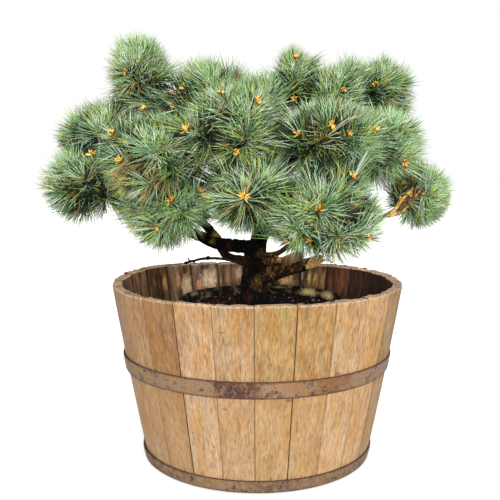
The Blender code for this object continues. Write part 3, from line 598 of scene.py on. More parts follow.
def new_material(name, roughness, metallic=0.0, specular=0.5):
    material = bpy.data.materials.new(name)
    material.use_nodes = True
    tree = material.node_tree
    shader = tree.nodes["Principled BSDF"]
    shader.inputs["Roughness"].default_value = roughness
    shader.inputs["Metallic"].default_value = metallic
    shader.inputs["Specular IOR Level"].default_value = specular
    return material, tree, shader


def stretched(tree, scale, offset=(0.0, 0.0, 0.0)):
    """Object coordinates scaled apart on each axis."""
    coordinates = add_node(tree, "ShaderNodeTexCoord")
    inputs = {"Vector": coordinates.outputs["Object"], "Scale": scale, "Location": offset}
    return add_node(tree, "ShaderNodeMapping", inputs).outputs["Vector"]


def noise_value(tree, vector, scale, detail=4.0, roughness=0.55):
    inputs = {"Vector": vector, "Scale": scale, "Detail": detail, "Roughness": roughness}
    return add_node(tree, "ShaderNodeTexNoise", inputs).outputs["Fac"]


def ramp(tree, factor, stops):
    """Colours or grey levels by position."""
    made = add_node(tree, "ShaderNodeValToRGB", {"Fac": factor})
    elements = made.color_ramp.elements
    while len(elements) < len(stops):
        elements.new(0.5)
    for element, (position, value) in zip(elements, stops):
        element.position = position
        element.color = value if isinstance(value, tuple) else (value, value, value, 1.0)
    return made.outputs["Color"]


def mix(tree, factor, first, second, blend="MIX"):
    made = tree.nodes.new("ShaderNodeMix")
    made.data_type = "RGBA"
    made.blend_type = blend
    for socket, value in zip((made.inputs[0], made.inputs[6], made.inputs[7]), (factor, first, second)):
        if isinstance(value, bpy.types.NodeSocket):
            tree.links.new(value, socket)
        else:
            socket.default_value = value
    return made.outputs[2]


def bumped(tree, shader, height, strength, distance):
    inputs = {"Height": height, "Strength": strength, "Distance": distance}
    made = add_node(tree, "ShaderNodeBump", inputs)
    tree.links.new(made.outputs["Normal"], shader.inputs["Normal"])


def wood_material(name, tone, offset, marks):
    """Dry weathered oak: upright bands and fibres, stains, a pale frayed rim, dark seams, and its marks."""
    material, tree, shader = new_material(name, 0.8, specular=0.2)
    bands = noise_value(tree, stretched(tree, (62.0, 62.0, 1.5), offset), 1.0, 3.0, 0.6)
    fibres = noise_value(tree, stretched(tree, (400.0, 400.0, 9.0), offset), 1.0, 4.0, 0.7)
    streaks = noise_value(tree, stretched(tree, (150.0, 150.0, 3.5), offset), 1.0, 3.0, 0.6)
    mottle = noise_value(tree, stretched(tree, (240.0, 240.0, 45.0), offset), 1.0, 4.0, 0.65)
    broad = noise_value(tree, stretched(tree, (24.0, 24.0, 11.0), offset), 1.0, 4.0, 0.6)
    warm = surface(*shifted(tone, 1.00, 0.95, 0.80))
    cool = surface(*shifted(tone, 1.00, 1.03, 1.08))
    worn = surface(*shifted(tone, 1.08, 1.14, 1.22))
    stained = surface(*shifted(tone, 0.88, 0.80, 0.70))
    body = mix(tree, ramp(tree, bands, ((0.38, 0.0), (0.62, 1.0))), warm, cool)
    body = mix(tree, ramp(tree, broad, ((0.52, 0.0), (0.68, 0.55))), body, worn)
    body = mix(tree, ramp(tree, broad, ((0.32, 0.60), (0.46, 0.0))), body, stained)
    for mark in marks:
        body = marked(tree, body, mark, 0.0, LIGHT_LEVEL)
    body = mix(tree, 1.0, body, ramp(tree, streaks, ((0.30, 0.66), (0.44, 1.0), (0.70, 1.12))), "MULTIPLY")
    body = mix(tree, 1.0, body, ramp(tree, fibres, ((0.32, 0.56), (0.49, 1.0), (0.66, 1.26))), "MULTIPLY")
    body = mix(tree, 1.0, body, ramp(tree, mottle, ((0.32, 0.78), (0.52, 1.0), (0.70, 1.12))), "MULTIPLY")
    place = add_node(tree, "ShaderNodeTexCoord").outputs["Object"]
    height = add_node(tree, "ShaderNodeSeparateXYZ", {"Vector": place}).outputs["Z"]
    body = mix(tree, ramp(tree, height, ((0.17, 0.15), (0.22, 0.0))), body, surface(250, 208, 160))
    rim = add_node(tree, "ShaderNodeAttribute", attribute_name="rim").outputs["Fac"]
    frayed = ramp(tree, mottle, ((0.40, 0.25), (0.56, 1.0)))
    body = mix(tree, mix(tree, 1.0, rim, frayed, "MULTIPLY"), body, surface(*RIM_TONE, RIM_LIGHT))
    seam = add_node(tree, "ShaderNodeAttribute", attribute_name="seam").outputs["Fac"]
    ragged = ramp(tree, mottle, ((0.36, 0.45), (0.52, 1.0)))
    body = mix(tree, mix(tree, 1.0, seam, ragged, "MULTIPLY"), body, surface(*SEAM_TONE))
    tree.links.new(body, shader.inputs["Base Color"])
    bumped(tree, shader, mix(tree, 0.4, fibres, mottle), 0.6, 0.0012)
    return material


def marked(tree, body, mark, depth, level):
    """Paints a knot, crack, stain or patch of painted sunlight over a stave's colour, at a depth inside its outer
    face.
    """
    angle, height, width, length, amount, tone = mark
    radius = float(tub_radius(height)) - depth
    turn = math.radians(angle)
    spot = (radius * math.sin(turn), -radius * math.cos(turn), height)
    return mix(tree, spot_mask(tree, spot, (width, width, length), amount), body, surface(*tone, level))


def spot_mask(tree, spot, size, amount):
    """How far a ragged mark covers a point: size gives its reach along X, Y and Z."""
    scale = tuple(0.5 / reach for reach in size)
    shift = tuple(-0.5 * part / reach for part, reach in zip(spot, size))
    place = stretched(tree, scale, shift)
    distance = add_node(tree, "ShaderNodeVectorMath", {0: place}, operation="LENGTH").outputs["Value"]
    rough = noise_value(tree, stretched(tree, (1.0, 1.0, 0.4)), 260.0, 3.0, 0.7)
    inputs = {0: rough, 1: 0.8, 2: distance}
    ragged = add_node(tree, "ShaderNodeMath", inputs, operation="MULTIPLY_ADD").outputs["Value"]
    return ramp(tree, ragged, ((0.45, amount), (0.66, 0.6 * amount), (0.88, 0.0)))


def inner_wood_material(name, tone, offset, marks):
    """A stave's inside: rough and streaked, with dark grooves, pale fibres, and its marks: painted patches of dappled
    sunlight and pale streaks.
    """
    material, tree, shader = new_material(name, 0.85, specular=0.15)
    fibres = noise_value(tree, stretched(tree, (210.0, 210.0, 9.0), offset), 1.0, 4.0, 0.7)
    streaks = noise_value(tree, stretched(tree, (90.0, 90.0, 6.0), offset), 1.0, 4.0, 0.6)
    mottle = noise_value(tree, stretched(tree, (90.0, 90.0, 60.0), offset), 1.0, 4.0, 0.65)
    dark = surface(*shifted(tone, 0.62, 0.58, 0.55), INNER_LIGHT)
    light = surface(*shifted(tone, 1.42, 1.45, 1.52), INNER_LIGHT)
    stops = ((0.34, dark), (0.47, surface(*tone, INNER_LIGHT)), (0.66, light))
    body = ramp(tree, streaks, stops)
    # Painted patches of dappled sunlight and pale streaks, given as base colours
    for mark in marks:
        body = marked(tree, body, mark, STAVE_THICKNESS, 1.0)
    body = mix(tree, 1.0, body, ramp(tree, fibres, ((0.30, 0.50), (0.48, 0.95), (0.70, 1.25))), "MULTIPLY")
    body = mix(tree, 1.0, body, ramp(tree, mottle, ((0.32, 0.70), (0.55, 1.0), (0.72, 1.15))), "MULTIPLY")
    rim = add_node(tree, "ShaderNodeAttribute", attribute_name="rim").outputs["Fac"]
    body = mix(tree, rim, body, surface(190, 156, 124, INNER_LIGHT))
    seam = add_node(tree, "ShaderNodeAttribute", attribute_name="seam").outputs["Fac"]
    body = mix(tree, seam, body, surface(30, 22, 16, INNER_LIGHT))
    tree.links.new(body, shader.inputs["Base Color"])
    bumped(tree, shader, mix(tree, 0.5, fibres, mottle), 0.8, 0.002)
    return material


def rust_material(name, tones):
    """Old iron: brown rust, greyish and ochre patches, dark pits, and dark rust-red edges, partly rust and partly
    painted shade along the strap's edges.
    """
    material, tree, shader = new_material(name, 0.75, specular=0.35)
    place = stretched(tree, (1.0, 1.0, 1.0))
    middle = noise_value(tree, place, 75.0, 4.0, 0.65)
    other = noise_value(tree, stretched(tree, (1.0, 1.0, 1.0), (3.0, 1.0, 2.0)), 110.0, 4.0, 0.65)
    fine = noise_value(tree, place, 300.0, 4.0, 0.7)
    turn = add_node(tree, "ShaderNodeAttribute", attribute_name="turn").outputs["Fac"]
    stops = tuple((angle / 360.0 + 0.5, surface(*tone)) for angle, tone in tones)
    body = ramp(tree, turn, stops)
    body = mix(tree, ramp(tree, other, ((0.52, 0.0), (0.62, 0.65))), body, surface(164, 146, 134))
    body = mix(tree, ramp(tree, middle, ((0.54, 0.0), (0.64, 0.80))), body, surface(184, 134, 60))
    body = mix(tree, ramp(tree, middle, ((0.34, 0.85), (0.46, 0.0))), body, surface(64, 40, 26))
    body = mix(tree, 1.0, body, ramp(tree, fine, ((0.3, 0.66), (0.5, 1.0), (0.7, 1.22))), "MULTIPLY")
    # Dark rust-red along the strap's top and bottom edges: partly rust, partly painted shade
    edge = add_node(tree, "ShaderNodeAttribute", attribute_name="edge").outputs["Fac"]
    body = mix(tree, edge, body, surface(92, 46, 26))
    tree.links.new(body, shader.inputs["Base Color"])
    bumped(tree, shader, mix(tree, 0.5, middle, fine), 0.7, 0.0014)
    return material


def plastic_material():
    """Dull olive plastic, almost black over most of it and pale khaki in patches."""
    material, tree, shader = new_material("dull_plastic", 0.9, specular=0.08)
    dust = noise_value(tree, stretched(tree, (1.0, 1.0, 1.0)), 46.0, 6.0, 0.65)
    stops = ((0.42, colour(9, 7, 5)), (0.54, colour(30, 25, 17)), (0.66, colour(104, 92, 66)))
    body = ramp(tree, dust, stops)
    for spot, size, amount, tone in POT_MARKS:
        body = mix(tree, spot_mask(tree, spot, size, amount), body, colour(*tone))
    tree.links.new(body, shader.inputs["Base Color"])
    bumped(tree, shader, dust, 0.3, 0.001)
    return material


def earth_material():
    """Almost black compost with reddish crumbs and a few pale grains."""
    material, tree, shader = new_material("earth", 0.95, specular=0.05)
    place = stretched(tree, (1.0, 1.0, 1.0))
    fine = noise_value(tree, place, 190.0, 6.0, 0.7)
    grains = add_node(tree, "ShaderNodeTexVoronoi", {"Vector": place, "Scale": 230.0})
    body = ramp(tree, fine, ((0.36, colour(3, 2, 1)), (0.55, colour(12, 8, 6)), (0.70, colour(44, 30, 22))))
    crumb = add_node(tree, "ShaderNodeSeparateXYZ", {"Vector": grains.outputs["Color"]}).outputs["X"]
    body = mix(tree, ramp(tree, crumb, ((0.84, 0.0), (0.90, 0.7))), body, colour(96, 40, 34))
    body = mix(tree, ramp(tree, crumb, ((0.975, 0.0), (0.985, 0.9))), body, colour(176, 168, 158))
    tree.links.new(body, shader.inputs["Base Color"])
    bumped(tree, shader, fine, 0.8, 0.003)
    return material


def bark_material():
    """Dark flaking bark, near black partly as painted shade from the crown, paler on its ridges, tan on the young
    limbs and more tan on their upper faces as painted light, lichen, and pale sawn ends.
    """
    material, tree, shader = new_material("bark", 0.95, specular=0.1)
    place = stretched(tree, (1.0, 1.0, 0.6))
    fine = noise_value(tree, place, 240.0, 6.0, 0.7)
    broad = noise_value(tree, place, 48.0, 4.0)
    # Near-black bark: partly its own dark colour, partly painted shade from the crown
    dark = ramp(tree, fine, ((0.50, colour(3, 2, 2)), (0.62, colour(14, 10, 8)), (0.76, colour(96, 68, 46))))
    tan = ramp(tree, fine, ((0.38, colour(18, 12, 7)), (0.52, colour(104, 74, 38)), (0.68, colour(210, 164, 98))))
    young = add_node(tree, "ShaderNodeAttribute", attribute_name="tan").outputs["Fac"]
    shaded = ramp(tree, broad, ((0.42, 0.15), (0.56, 1.0)))
    body = mix(tree, mix(tree, 1.0, young, shaded, "MULTIPLY"), dark, tan)
    young = ramp(tree, fine, ((0.36, colour(58, 38, 16)), (0.50, colour(168, 126, 62)), (0.66, colour(232, 192, 118))))
    body = mix(tree, add_node(tree, "ShaderNodeAttribute", attribute_name="golden").outputs["Fac"], body, young)
    rusty = ramp(tree, broad, ((0.60, 0.0), (0.70, 0.25)))
    body = mix(tree, rusty, body, colour(78, 36, 18))
    lichen = add_node(tree, "ShaderNodeAttribute", attribute_name="lichen").outputs["Fac"]
    patches = ramp(tree, fine, ((0.40, 0.0), (0.52, 1.0)))
    body = mix(tree, mix(tree, 1.0, lichen, patches, "MULTIPLY"), body, colour(166, 156, 50))
    cut = add_node(tree, "ShaderNodeAttribute", attribute_name="cut").outputs["Fac"]
    pale = ramp(tree, fine, ((0.34, colour(110, 74, 40)), (0.52, colour(196, 148, 90)), (0.68, colour(240, 200, 146))))
    body = mix(tree, cut, body, pale)
    tree.links.new(body, shader.inputs["Base Color"])
    bumped(tree, shader, fine, 0.8, 0.0022)
    return material


def plain_material(name, base, roughness, specular=0.4):
    material, _, shader = new_material(name, roughness, specular=specular)
    shader.inputs["Base Color"].default_value = base
    return material


def array_mesh(name, points, faces):
    """A mesh from an array of points and an array of faces with the same number of corners."""
    mesh = bpy.data.meshes.new(name)
    corners = faces.shape[1]
    mesh.vertices.add(len(points))
    mesh.vertices.foreach_set("co", np.asarray(points, np.float32).ravel())
    mesh.loops.add(faces.size)
    mesh.loops.foreach_set("vertex_index", np.asarray(faces, np.int32).ravel())
    mesh.polygons.add(len(faces))
    mesh.polygons.foreach_set("loop_start", np.arange(0, faces.size, corners, dtype=np.int32))
    mesh.update(calc_edges=True)
    mesh.shade_smooth()
    return mesh


def add_piece(name, mesh, material, slot, *nodes):
    """Puts a finished mesh in the scene, on the body, in place of the solids it stands for."""
    piece = bpy.data.objects.new(name, mesh)
    bpy.context.scene.collection.objects.link(piece)
    if material:
        mesh.materials.append(material)
    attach(piece, "root")
    if nodes:
        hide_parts(*nodes)
    return piece


def tub_radius(height):
    """Outer radius of the tub: a smooth swell through its foot, middle and rim."""
    share = np.asarray(height) / TUB_HEIGHT
    bulge = TUB_MIDDLE_RADIUS - (TUB_FOOT_RADIUS + TUB_TOP_RADIUS) / 2
    return TUB_FOOT_RADIUS + (TUB_TOP_RADIUS - TUB_FOOT_RADIUS) * share + 4 * bulge * share * (1 - share)


def stave_top(angle):
    """Height of the stave whose middle is at this angle round the tub."""
    rises = [height * math.exp(-(((angle - where) / width) ** 2)) for where, width, height in RIM_RISES]
    return TUB_HEIGHT + BACK_RISE * (1.0 - math.cos(angle)) / 2 + sum(rises)


def seam_strength(index):
    return SEAM_STRENGTHS.get(index % STAVE_COUNT, SEAM_STRENGTH)


def seam_gap(strength):
    return 0.0002 + 0.0008 * strength


def stave_outline(index):
    """A stave's cross-section as (share across, share through, seam dirt) all the way round."""
    across = np.sin(np.linspace(-0.5, 0.5, STAVE_COLUMNS) * math.pi)
    strengths = np.where(across < 0.0, seam_strength(index), seam_strength(index + 1))
    dirt = np.clip((np.abs(across) - 0.955) / 0.045, 0.0, 1.0) ** 1.5 * strengths
    outer = [(a, 0.0, d) for a, d in zip(across, dirt)]
    side = [(1.0, 0.35, 1.0), (1.0, 0.70, 1.0)]
    inner_across = np.sin(np.linspace(0.5, -0.5, INNER_COLUMNS) * math.pi)
    inner = [(a, 1.0, max(0.0, (abs(a) - 0.90) / 0.10)) for a in inner_across]
    other = [(-1.0, 0.70, 1.0), (-1.0, 0.35, 1.0)]
    return outer + side + inner + other


def stave_point(index, middle, top, height, across, through):
    """Where a point of a stave's surface lies, with its swell, worn edges, grain and frayed rim."""
    radius = float(tub_radius(height))
    half = STAVE_PITCH / 2 - seam_gap(seam_strength(index + (across > 0.0))) / 2 / radius
    angle = middle + across * half
    worn = STAVE_EDGE_ROUND * max(0.0, (abs(across) - 0.88) / 0.12) ** 3
    near_end = max(0.0, 1.0 - min(height, top - height) / 0.0018)
    worn += 0.0012 * near_end**2
    grain = noise.fractal(Vector((angle * 100.0, height * 5.0, index)), 0.8, 2.1, 4)
    depth = through * STAVE_THICKNESS
    if through == 0.0:
        depth += worn - 0.0004 * grain + 0.0006 * noise.noise(Vector((angle * 40.0, height * 3.0, index * 7.0)))
    elif through == 1.0:
        depth -= worn - 0.0008 * grain
    frayed = 0.0
    if top - height < 0.002:
        frayed = RIM_FRAY * noise.fractal(Vector((angle * 70.0, through * 3.0, index)), 0.9, 2.3, 4)
    reach = radius - depth
    return (reach * math.sin(angle), -reach * math.cos(angle), height + frayed)


def make_stave(index, outer_material, inner_material):
    rng = np.random.default_rng([SEED, 100 + index])
    middle = FIRST_SEAM + (index + 0.5) * STAVE_PITCH
    outline = stave_outline(index)
    ring = len(outline)
    plain_top = stave_top(middle) + float(rng.uniform(-0.0012, 0.0008))
    rise = SPLIT_RISE if index == SPLIT_STAVE else (0.0, 0.0, 0.0)
    points = []
    dirt = []
    rim = []
    for share in np.linspace(0.0, 1.0, STAVE_ROWS) ** 0.8:
        for across, through, seam in outline:
            top = plain_top + float(np.interp(across, (-1.0, 0.0, 1.0), rise))
            height = top * float(share)
            points.append(stave_point(index, middle, top, height, float(across), through))
            dirt.append(seam if height < top or through == 0.0 else RIM_SEAM * seam)
            rim.append(max(0.0, 1.0 - (top - height) / RIM_PALE))
    quads = []
    for row in range(STAVE_ROWS - 1):
        for k in range(ring):
            a = row * ring + k
            b = row * ring + (k + 1) % ring
            quads.append((a, b, b + ring, a + ring))
    mesh = bpy.data.meshes.new(f"stave_{index + 1:02d}_wood")
    bottom = tuple(reversed(range(ring)))
    lid = tuple(range((STAVE_ROWS - 1) * ring, STAVE_ROWS * ring))
    mesh.from_pydata(points, [], quads + [bottom, lid])
    mesh.update()
    mesh.attributes.new("seam", "FLOAT", "POINT").data.foreach_set("value", np.array(dirt, np.float32))
    mesh.attributes.new("rim", "FLOAT", "POINT").data.foreach_set("value", np.array(rim, np.float32))
    mesh.materials.append(outer_material)
    mesh.materials.append(inner_material)
    inner_first = STAVE_COLUMNS + 1
    inner_last = STAVE_COLUMNS + 2 + INNER_COLUMNS
    for polygon in mesh.polygons:
        column = polygon.index % ring
        if polygon.index < len(quads) and inner_first < column < inner_last:
            polygon.material_index = 1
    mesh.shade_smooth()
    mesh.set_sharp_from_angle(angle=math.radians(50.0))
    add_piece(mesh.name, mesh, None, "staves", f"stave_{index + 1:02d}")


def make_staves():
    rng = np.random.default_rng([SEED, 50])
    for index in range(STAVE_COUNT):
        shade = float(rng.uniform(0.93, 1.04))
        tone = STAVE_TONES.get(index, shifted(STAVE_TONE, shade, shade, shade))
        inner_tone = INNER_TONES.get(index, shifted(INNER_TONE, shade, shade, shade))
        offset = (index * 3.7, 0.0, index * 1.3)
        marks = [mark[1:] for mark in STAVE_MARKS if mark[0] == index]
        # The inner faces' marks: painted dappled sunlight and pale streaks
        inner_sunlight_and_streaks = [mark[1:] for mark in INNER_SUNLIGHT_AND_STREAKS if mark[0] == index]
        outer = wood_material(f"oak_{index + 1:02d}", tone, offset, marks)
        inner = inner_wood_material(f"inner_oak_{index + 1:02d}", inner_tone, offset, inner_sunlight_and_streaks)
        make_stave(index, outer, inner)


def turned_mesh(name, profile, steps, ragged=0.0, closed=True):
    """A profile of (radius, height) turned about Z, with a little unevenness."""
    points = []
    for step in range(steps):
        angle = step / steps * math.tau
        for k, (radius, height) in enumerate(profile):
            wave = noise.noise(Vector((math.cos(angle) * 9, math.sin(angle) * 9, k * 0.7)))
            fine = noise.noise(Vector((math.cos(angle) * 60, math.sin(angle) * 60, height * 200)))
            reach = radius + ragged * (wave + 0.6 * fine)
            lift = ragged * 0.8 * noise.noise(Vector((math.cos(angle) * 14, math.sin(angle) * 14, 5 + k)))
            points.append((reach * math.sin(angle), -reach * math.cos(angle), height + lift))
    count = len(profile)
    quads = []
    spans = count if closed else count - 1
    for step in range(steps):
        for k in range(spans):
            a = step * count + k
            b = step * count + (k + 1) % count
            c = (step + 1) % steps * count + (k + 1) % count
            d = (step + 1) % steps * count + k
            quads.append((a, b, c, d))
    mesh = array_mesh(name, np.array(points), np.array(quads))
    mesh.set_sharp_from_angle(angle=math.radians(40.0))
    return mesh


def flip_outward(mesh):
    bm = bmesh.new()
    bm.from_mesh(mesh)
    bmesh.ops.recalc_face_normals(bm, faces=bm.faces)
    bm.to_mesh(mesh)
    bm.free()


def strap_gap(angle):
    """How far a strap stands off the wood at an angle round the tub."""
    where, width, distance = STRAP_GAP
    offset = (angle - where + math.pi) % math.tau - math.pi
    return distance * math.exp(-((offset / width) ** 2))


def strap_mesh(name, low, height):
    """The strap itself: a worn band round the tub, as rows of its outer face and of its inner face."""
    steps = 360
    points = []
    for step in range(steps):
        angle = step / steps * math.tau - math.pi
        for side in (1, -1):
            for k in range(STRAP_ROWS)[::side]:
                level = low + height * k / (STRAP_ROWS - 1)
                rough = noise.fractal(Vector((angle * 22.0, level * 90.0, side)), 0.8, 2.2, 4)
                reach = float(tub_radius(level)) + strap_gap(angle)
                if side == 1:
                    rounding = 0.0008 if k in (0, STRAP_ROWS - 1) else 0.0
                    reach += CLEARANCE + HOOP_THICKNESS - rounding + 0.0005 * rough
                else:
                    reach -= 0.0004
                if k in (0, STRAP_ROWS - 1):
                    level += 0.0006 * rough
                points.append((reach * math.sin(angle), -reach * math.cos(angle), level))
    ring = 2 * STRAP_ROWS
    quads = []
    for step in range(steps):
        for k in range(ring):
            a = step * ring + k
            b = step * ring + (k + 1) % ring
            c = (step + 1) % steps * ring + (k + 1) % ring
            d = (step + 1) % steps * ring + k
            quads.append((a, b, c, d))
    return array_mesh(name, np.array(points), np.array(quads))


def add_lap(bm, low, height, lap_at):
    """The lapped end of the strap, as a slightly proud plate with its edges turned in."""
    steps = 16
    grid = []
    for i in range(steps + 1):
        angle = lap_at + (i / steps - 0.5) * LAP_ANGLE
        column = []
        for k in range(STRAP_ROWS):
            level = low + LAP_INSET + (height - 2 * LAP_INSET) * k / (STRAP_ROWS - 1)
            edge = 0.0012 if k in (0, STRAP_ROWS - 1) or i in (0, steps) else 0.0
            reach = float(tub_radius(level)) + HOOP_THICKNESS + LAP_STAND - edge
            reach += 0.0005 * noise.noise(Vector((angle * 60, level * 100, 3)))
            column.append(bm.verts.new((reach * math.sin(angle), -reach * math.cos(angle), level)))
        grid.append(column)
    for i in range(steps):
        for k in range(STRAP_ROWS - 1):
            bm.faces.new((grid[i][k], grid[i + 1][k], grid[i + 1][k + 1], grid[i][k + 1]))
    border = grid[0] + [grid[i][-1] for i in range(1, steps)] + grid[-1][::-1]
    border += [grid[i][0] for i in range(steps - 1, 0, -1)]
    sunk = []
    for vert in border:
        flat = Vector((vert.co.x, vert.co.y, 0.0))
        inward = flat.normalized() * (flat.length - LAP_STAND - 0.0015)
        sunk.append(bm.verts.new((inward.x, inward.y, vert.co.z)))
    for k in range(len(border)):
        j = (k + 1) % len(border)
        bm.faces.new((border[k], border[j], sunk[j], sunk[k]))


def add_rivets(bm, level, lap_at):
    for side in (-1, 1):
        angle = lap_at + side * LAP_ANGLE / 4
        outward = Vector((math.sin(angle), -math.cos(angle), 0.0))
        centre = outward * (float(tub_radius(level)) + HOOP_THICKNESS + LAP_STAND)
        centre.z = level
        turn = outward.to_track_quat("Z", "Y").to_matrix().to_4x4()
        place = Matrix.Translation(centre) @ turn @ Matrix.Diagonal((1.0, 1.0, 0.5, 1.0))
        bmesh.ops.create_uvsphere(bm, u_segments=16, v_segments=10, radius=RIVET_RADIUS, matrix=place)


def make_hoop(name, hoop, material):
    """A worn iron strap with a riveted lap, dark along its edges, partly rust and partly painted shade."""
    low, height, lap_at = hoop
    mesh = strap_mesh(name + "_strap", low, height)
    bm = bmesh.new()
    bm.from_mesh(mesh)
    add_lap(bm, low, height, lap_at)
    add_rivets(bm, low + height / 2, lap_at)
    bmesh.ops.recalc_face_normals(bm, faces=bm.faces)
    bm.to_mesh(mesh)
    bm.free()
    places = np.array([vert.co for vert in mesh.vertices])
    turn = np.arctan2(places[:, 0], -places[:, 1]) / math.tau + 0.5
    level = (places[:, 2] - low) / height
    # How near each point is to the strap's top or bottom edge, where rust and painted shade darken it
    edge = np.clip(1.0 - np.minimum(level, 1.0 - level) / 0.09, 0.0, 1.0)
    mesh.attributes.new("turn", "FLOAT", "POINT").data.foreach_set("value", turn.astype(np.float32))
    mesh.attributes.new("edge", "FLOAT", "POINT").data.foreach_set("value", edge.astype(np.float32))
    mesh.shade_smooth()
    mesh.set_sharp_from_angle(angle=math.radians(45.0))
    add_piece(name + "_strap", mesh, material, "hoops", name)


def make_pot(material):
    wall = POT_WALL
    lip = POT_LIP
    rim = POT_RIM_HEIGHT
    foot = BOARD_THICKNESS + CLEARANCE

    def outer(height):
        return float(np.interp(height, (BOARD_THICKNESS, rim), (POT_FOOT_RADIUS, POT_TOP_RADIUS)))

    profile = [(outer(foot) - wall, foot + wall), (outer(rim) - wall, rim - 0.002)]
    for step in range(9):
        angle = math.pi * (1.0 - step / 8)
        centre = POT_TOP_RADIUS + (lip - wall) / 2
        profile.append((centre + (lip + wall) / 2 * math.cos(angle), rim - 0.002 + 0.0022 * math.sin(angle)))
    profile += [(POT_TOP_RADIUS + lip, rim - POT_LIP_DEPTH), (outer(rim - POT_LIP_DEPTH), rim - POT_LIP_DEPTH)]
    profile += [(outer(foot), foot)]
    mesh = turned_mesh("nursery_pot_shell", profile, 160, 0.0007)
    bm = bmesh.new()
    bm.from_mesh(mesh)
    bmesh.ops.holes_fill(bm, edges=[e for e in bm.edges if e.is_boundary])
    bmesh.ops.recalc_face_normals(bm, faces=bm.faces)
    bmesh.ops.translate(bm, vec=(POT_OFFSET, 0.0, 0.0), verts=bm.verts)
    bm.to_mesh(mesh)
    bm.free()
    add_piece("nursery_pot_shell", mesh, material, "nursery_pot", "nursery_pot")


def make_soil(material):
    """Lumpy compost, from the middle out to the pot's wall."""
    steps = 220
    edge = SOIL_TOP - SOIL_EDGE_DROP
    rim = float(np.interp(edge, (BOARD_THICKNESS, POT_RIM_HEIGHT), (POT_FOOT_RADIUS, POT_TOP_RADIUS)))
    rim -= POT_WALL + 2 * CLEARANCE
    rings = 70
    points = []
    for k in range(1, rings + 1):
        share = k / rings
        for step in range(steps):
            angle = step / steps * math.tau
            x = rim * share * math.cos(angle)
            y = rim * share * math.sin(angle)
            drop = SOIL_EDGE_DROP * max(0.0, share - 0.35) / 0.65
            spot = Vector((x * 90, y * 90, 0.0))
            lump = 0.0030 * noise.fractal(spot, 0.7, 2.2, 5) + 0.0035 * noise.noise(spot * 0.2)
            points.append((x + POT_OFFSET, y, SOIL_TOP - drop + lump * min(1.0, 6 * (1.03 - share))))
    quads = []
    for k in range(rings - 1):
        for step in range(steps):
            a = k * steps + step
            b = k * steps + (step + 1) % steps
            quads.append((a, b, b + steps, a + steps))
    bottom = [(x, y, SOIL_TOP - 0.05) for x, y, _ in points[-steps:]]
    points += bottom
    last = rings * steps
    for step in range(steps):
        a = last - steps + step
        b = last - steps + (step + 1) % steps
        quads.append((a, b, b + steps, a + steps))
    mesh = bpy.data.meshes.new("compost")
    centre = tuple(reversed(range(steps)))
    base = tuple(range(last, last + steps))
    mesh.from_pydata(points, [], quads + [centre, base])
    flip_outward(mesh)
    mesh.shade_smooth()
    add_piece("compost", mesh, material, "soil", "soil")


def smooth_route(controls, spans):
    """A Catmull-Rom curve through the control points, with the radius carried along."""
    rows = np.array([(*point, radius) for point, radius in controls])
    padded = np.vstack([2 * rows[0] - rows[1], rows, 2 * rows[-1] - rows[-2]])
    route = []
    for index in range(len(rows) - 1):
        a, b, c, d = padded[index : index + 4]
        for t in np.arange(spans) / spans:
            route.append(
                0.5 * (2 * b + (c - a) * t + (2 * a - 5 * b + 4 * c - d) * t**2)
                + 0.5 * (3 * b - a - 3 * c + d) * t**3
            )
    route.append(rows[-1])
    return [(Vector(row[:3]), float(row[3])) for row in route]


def tube_arrays(route, sides):
    """Points and quads of a closed tapering tube along a route."""
    places = np.array([place for place, _ in route])
    radii = np.array([radius for _, radius in route])
    along = np.gradient(places, axis=0)
    along /= np.linalg.norm(along, axis=1)[:, None]
    normal = np.array(Vector(along[0]).orthogonal().normalized())
    points = []
    for k in range(len(places)):
        normal = normal - along[k] * (normal @ along[k])
        normal /= np.linalg.norm(normal)
        other = np.cross(along[k], normal)
        for side in range(sides):
            turn = side / sides * math.tau
            points.append(places[k] + radii[k] * (math.cos(turn) * normal + math.sin(turn) * other))
    points.append(places[0])
    points.append(places[-1])
    rings = len(places)
    quads = []
    for k in range(rings - 1):
        for side in range(sides):
            a = k * sides + side
            b = k * sides + (side + 1) % sides
            quads.append((a, b, b + sides, a + sides))
    start = rings * sides
    triangles = []
    for side in range(sides):
        following = (side + 1) % sides
        triangles.append((start, following, side))
        triangles.append((start + 1, (rings - 1) * sides + side, (rings - 1) * sides + following))
    return points, quads + triangles


def limb_routes():
    """Name, route and share of tan bark of every limb."""
    routes = [("trunk", smooth_route(TRUNK, 8), 0.0)]
    for name, controls in BOUGHS.items():
        routes.append((name, smooth_route(controls, 8), TAN_LIMBS.get(name, 0.0)))
    routes.append(("sawn_bough", smooth_route(SAWN_BOUGH, 8), TAN_LIMBS["sawn_bough"]))
    routes.append(("stub", smooth_route(STUB, 6), TAN_LIMBS["stub"]))
    routes.append(("dead_twig", smooth_route(DEAD_TWIG, 6), TAN_LIMBS["dead_twig"]))
    routes.append(("snag", smooth_route(SNAG, 5), 0.0))
    for number, controls in enumerate(TWIGLETS):
        routes.append((f"twiglet_{number}", smooth_route(controls, 4), 0.2))
    return routes


def make_limb_skin():
    """Trunk and boughs as one mesh, remeshed so that they grow into each other."""
    points = []
    faces = []
    for _, route, _ in limb_routes():
        some, quads = tube_arrays(route, 20)
        faces += [tuple(len(points) + k for k in quad) for quad in quads]
        points += some
    mesh = bpy.data.meshes.new("limbs_rough")
    mesh.from_pydata(points, [], faces)
    rough = bpy.data.objects.new("limbs_rough", mesh)
    bpy.context.scene.collection.objects.link(rough)
    remesh = rough.modifiers.new("skin", "REMESH")
    remesh.mode = "VOXEL"
    remesh.voxel_size = BARK_VOXEL
    smooth = rough.modifiers.new("smooth", "SMOOTH")
    smooth.factor = 0.5
    smooth.iterations = 4
    bpy.context.view_layer.update()
    graph = bpy.context.evaluated_depsgraph_get()
    skin = bpy.data.meshes.new_from_object(rough.evaluated_get(graph))
    bpy.data.objects.remove(rough, do_unlink=True)
    skin.name = "limbs_bark"
    return skin


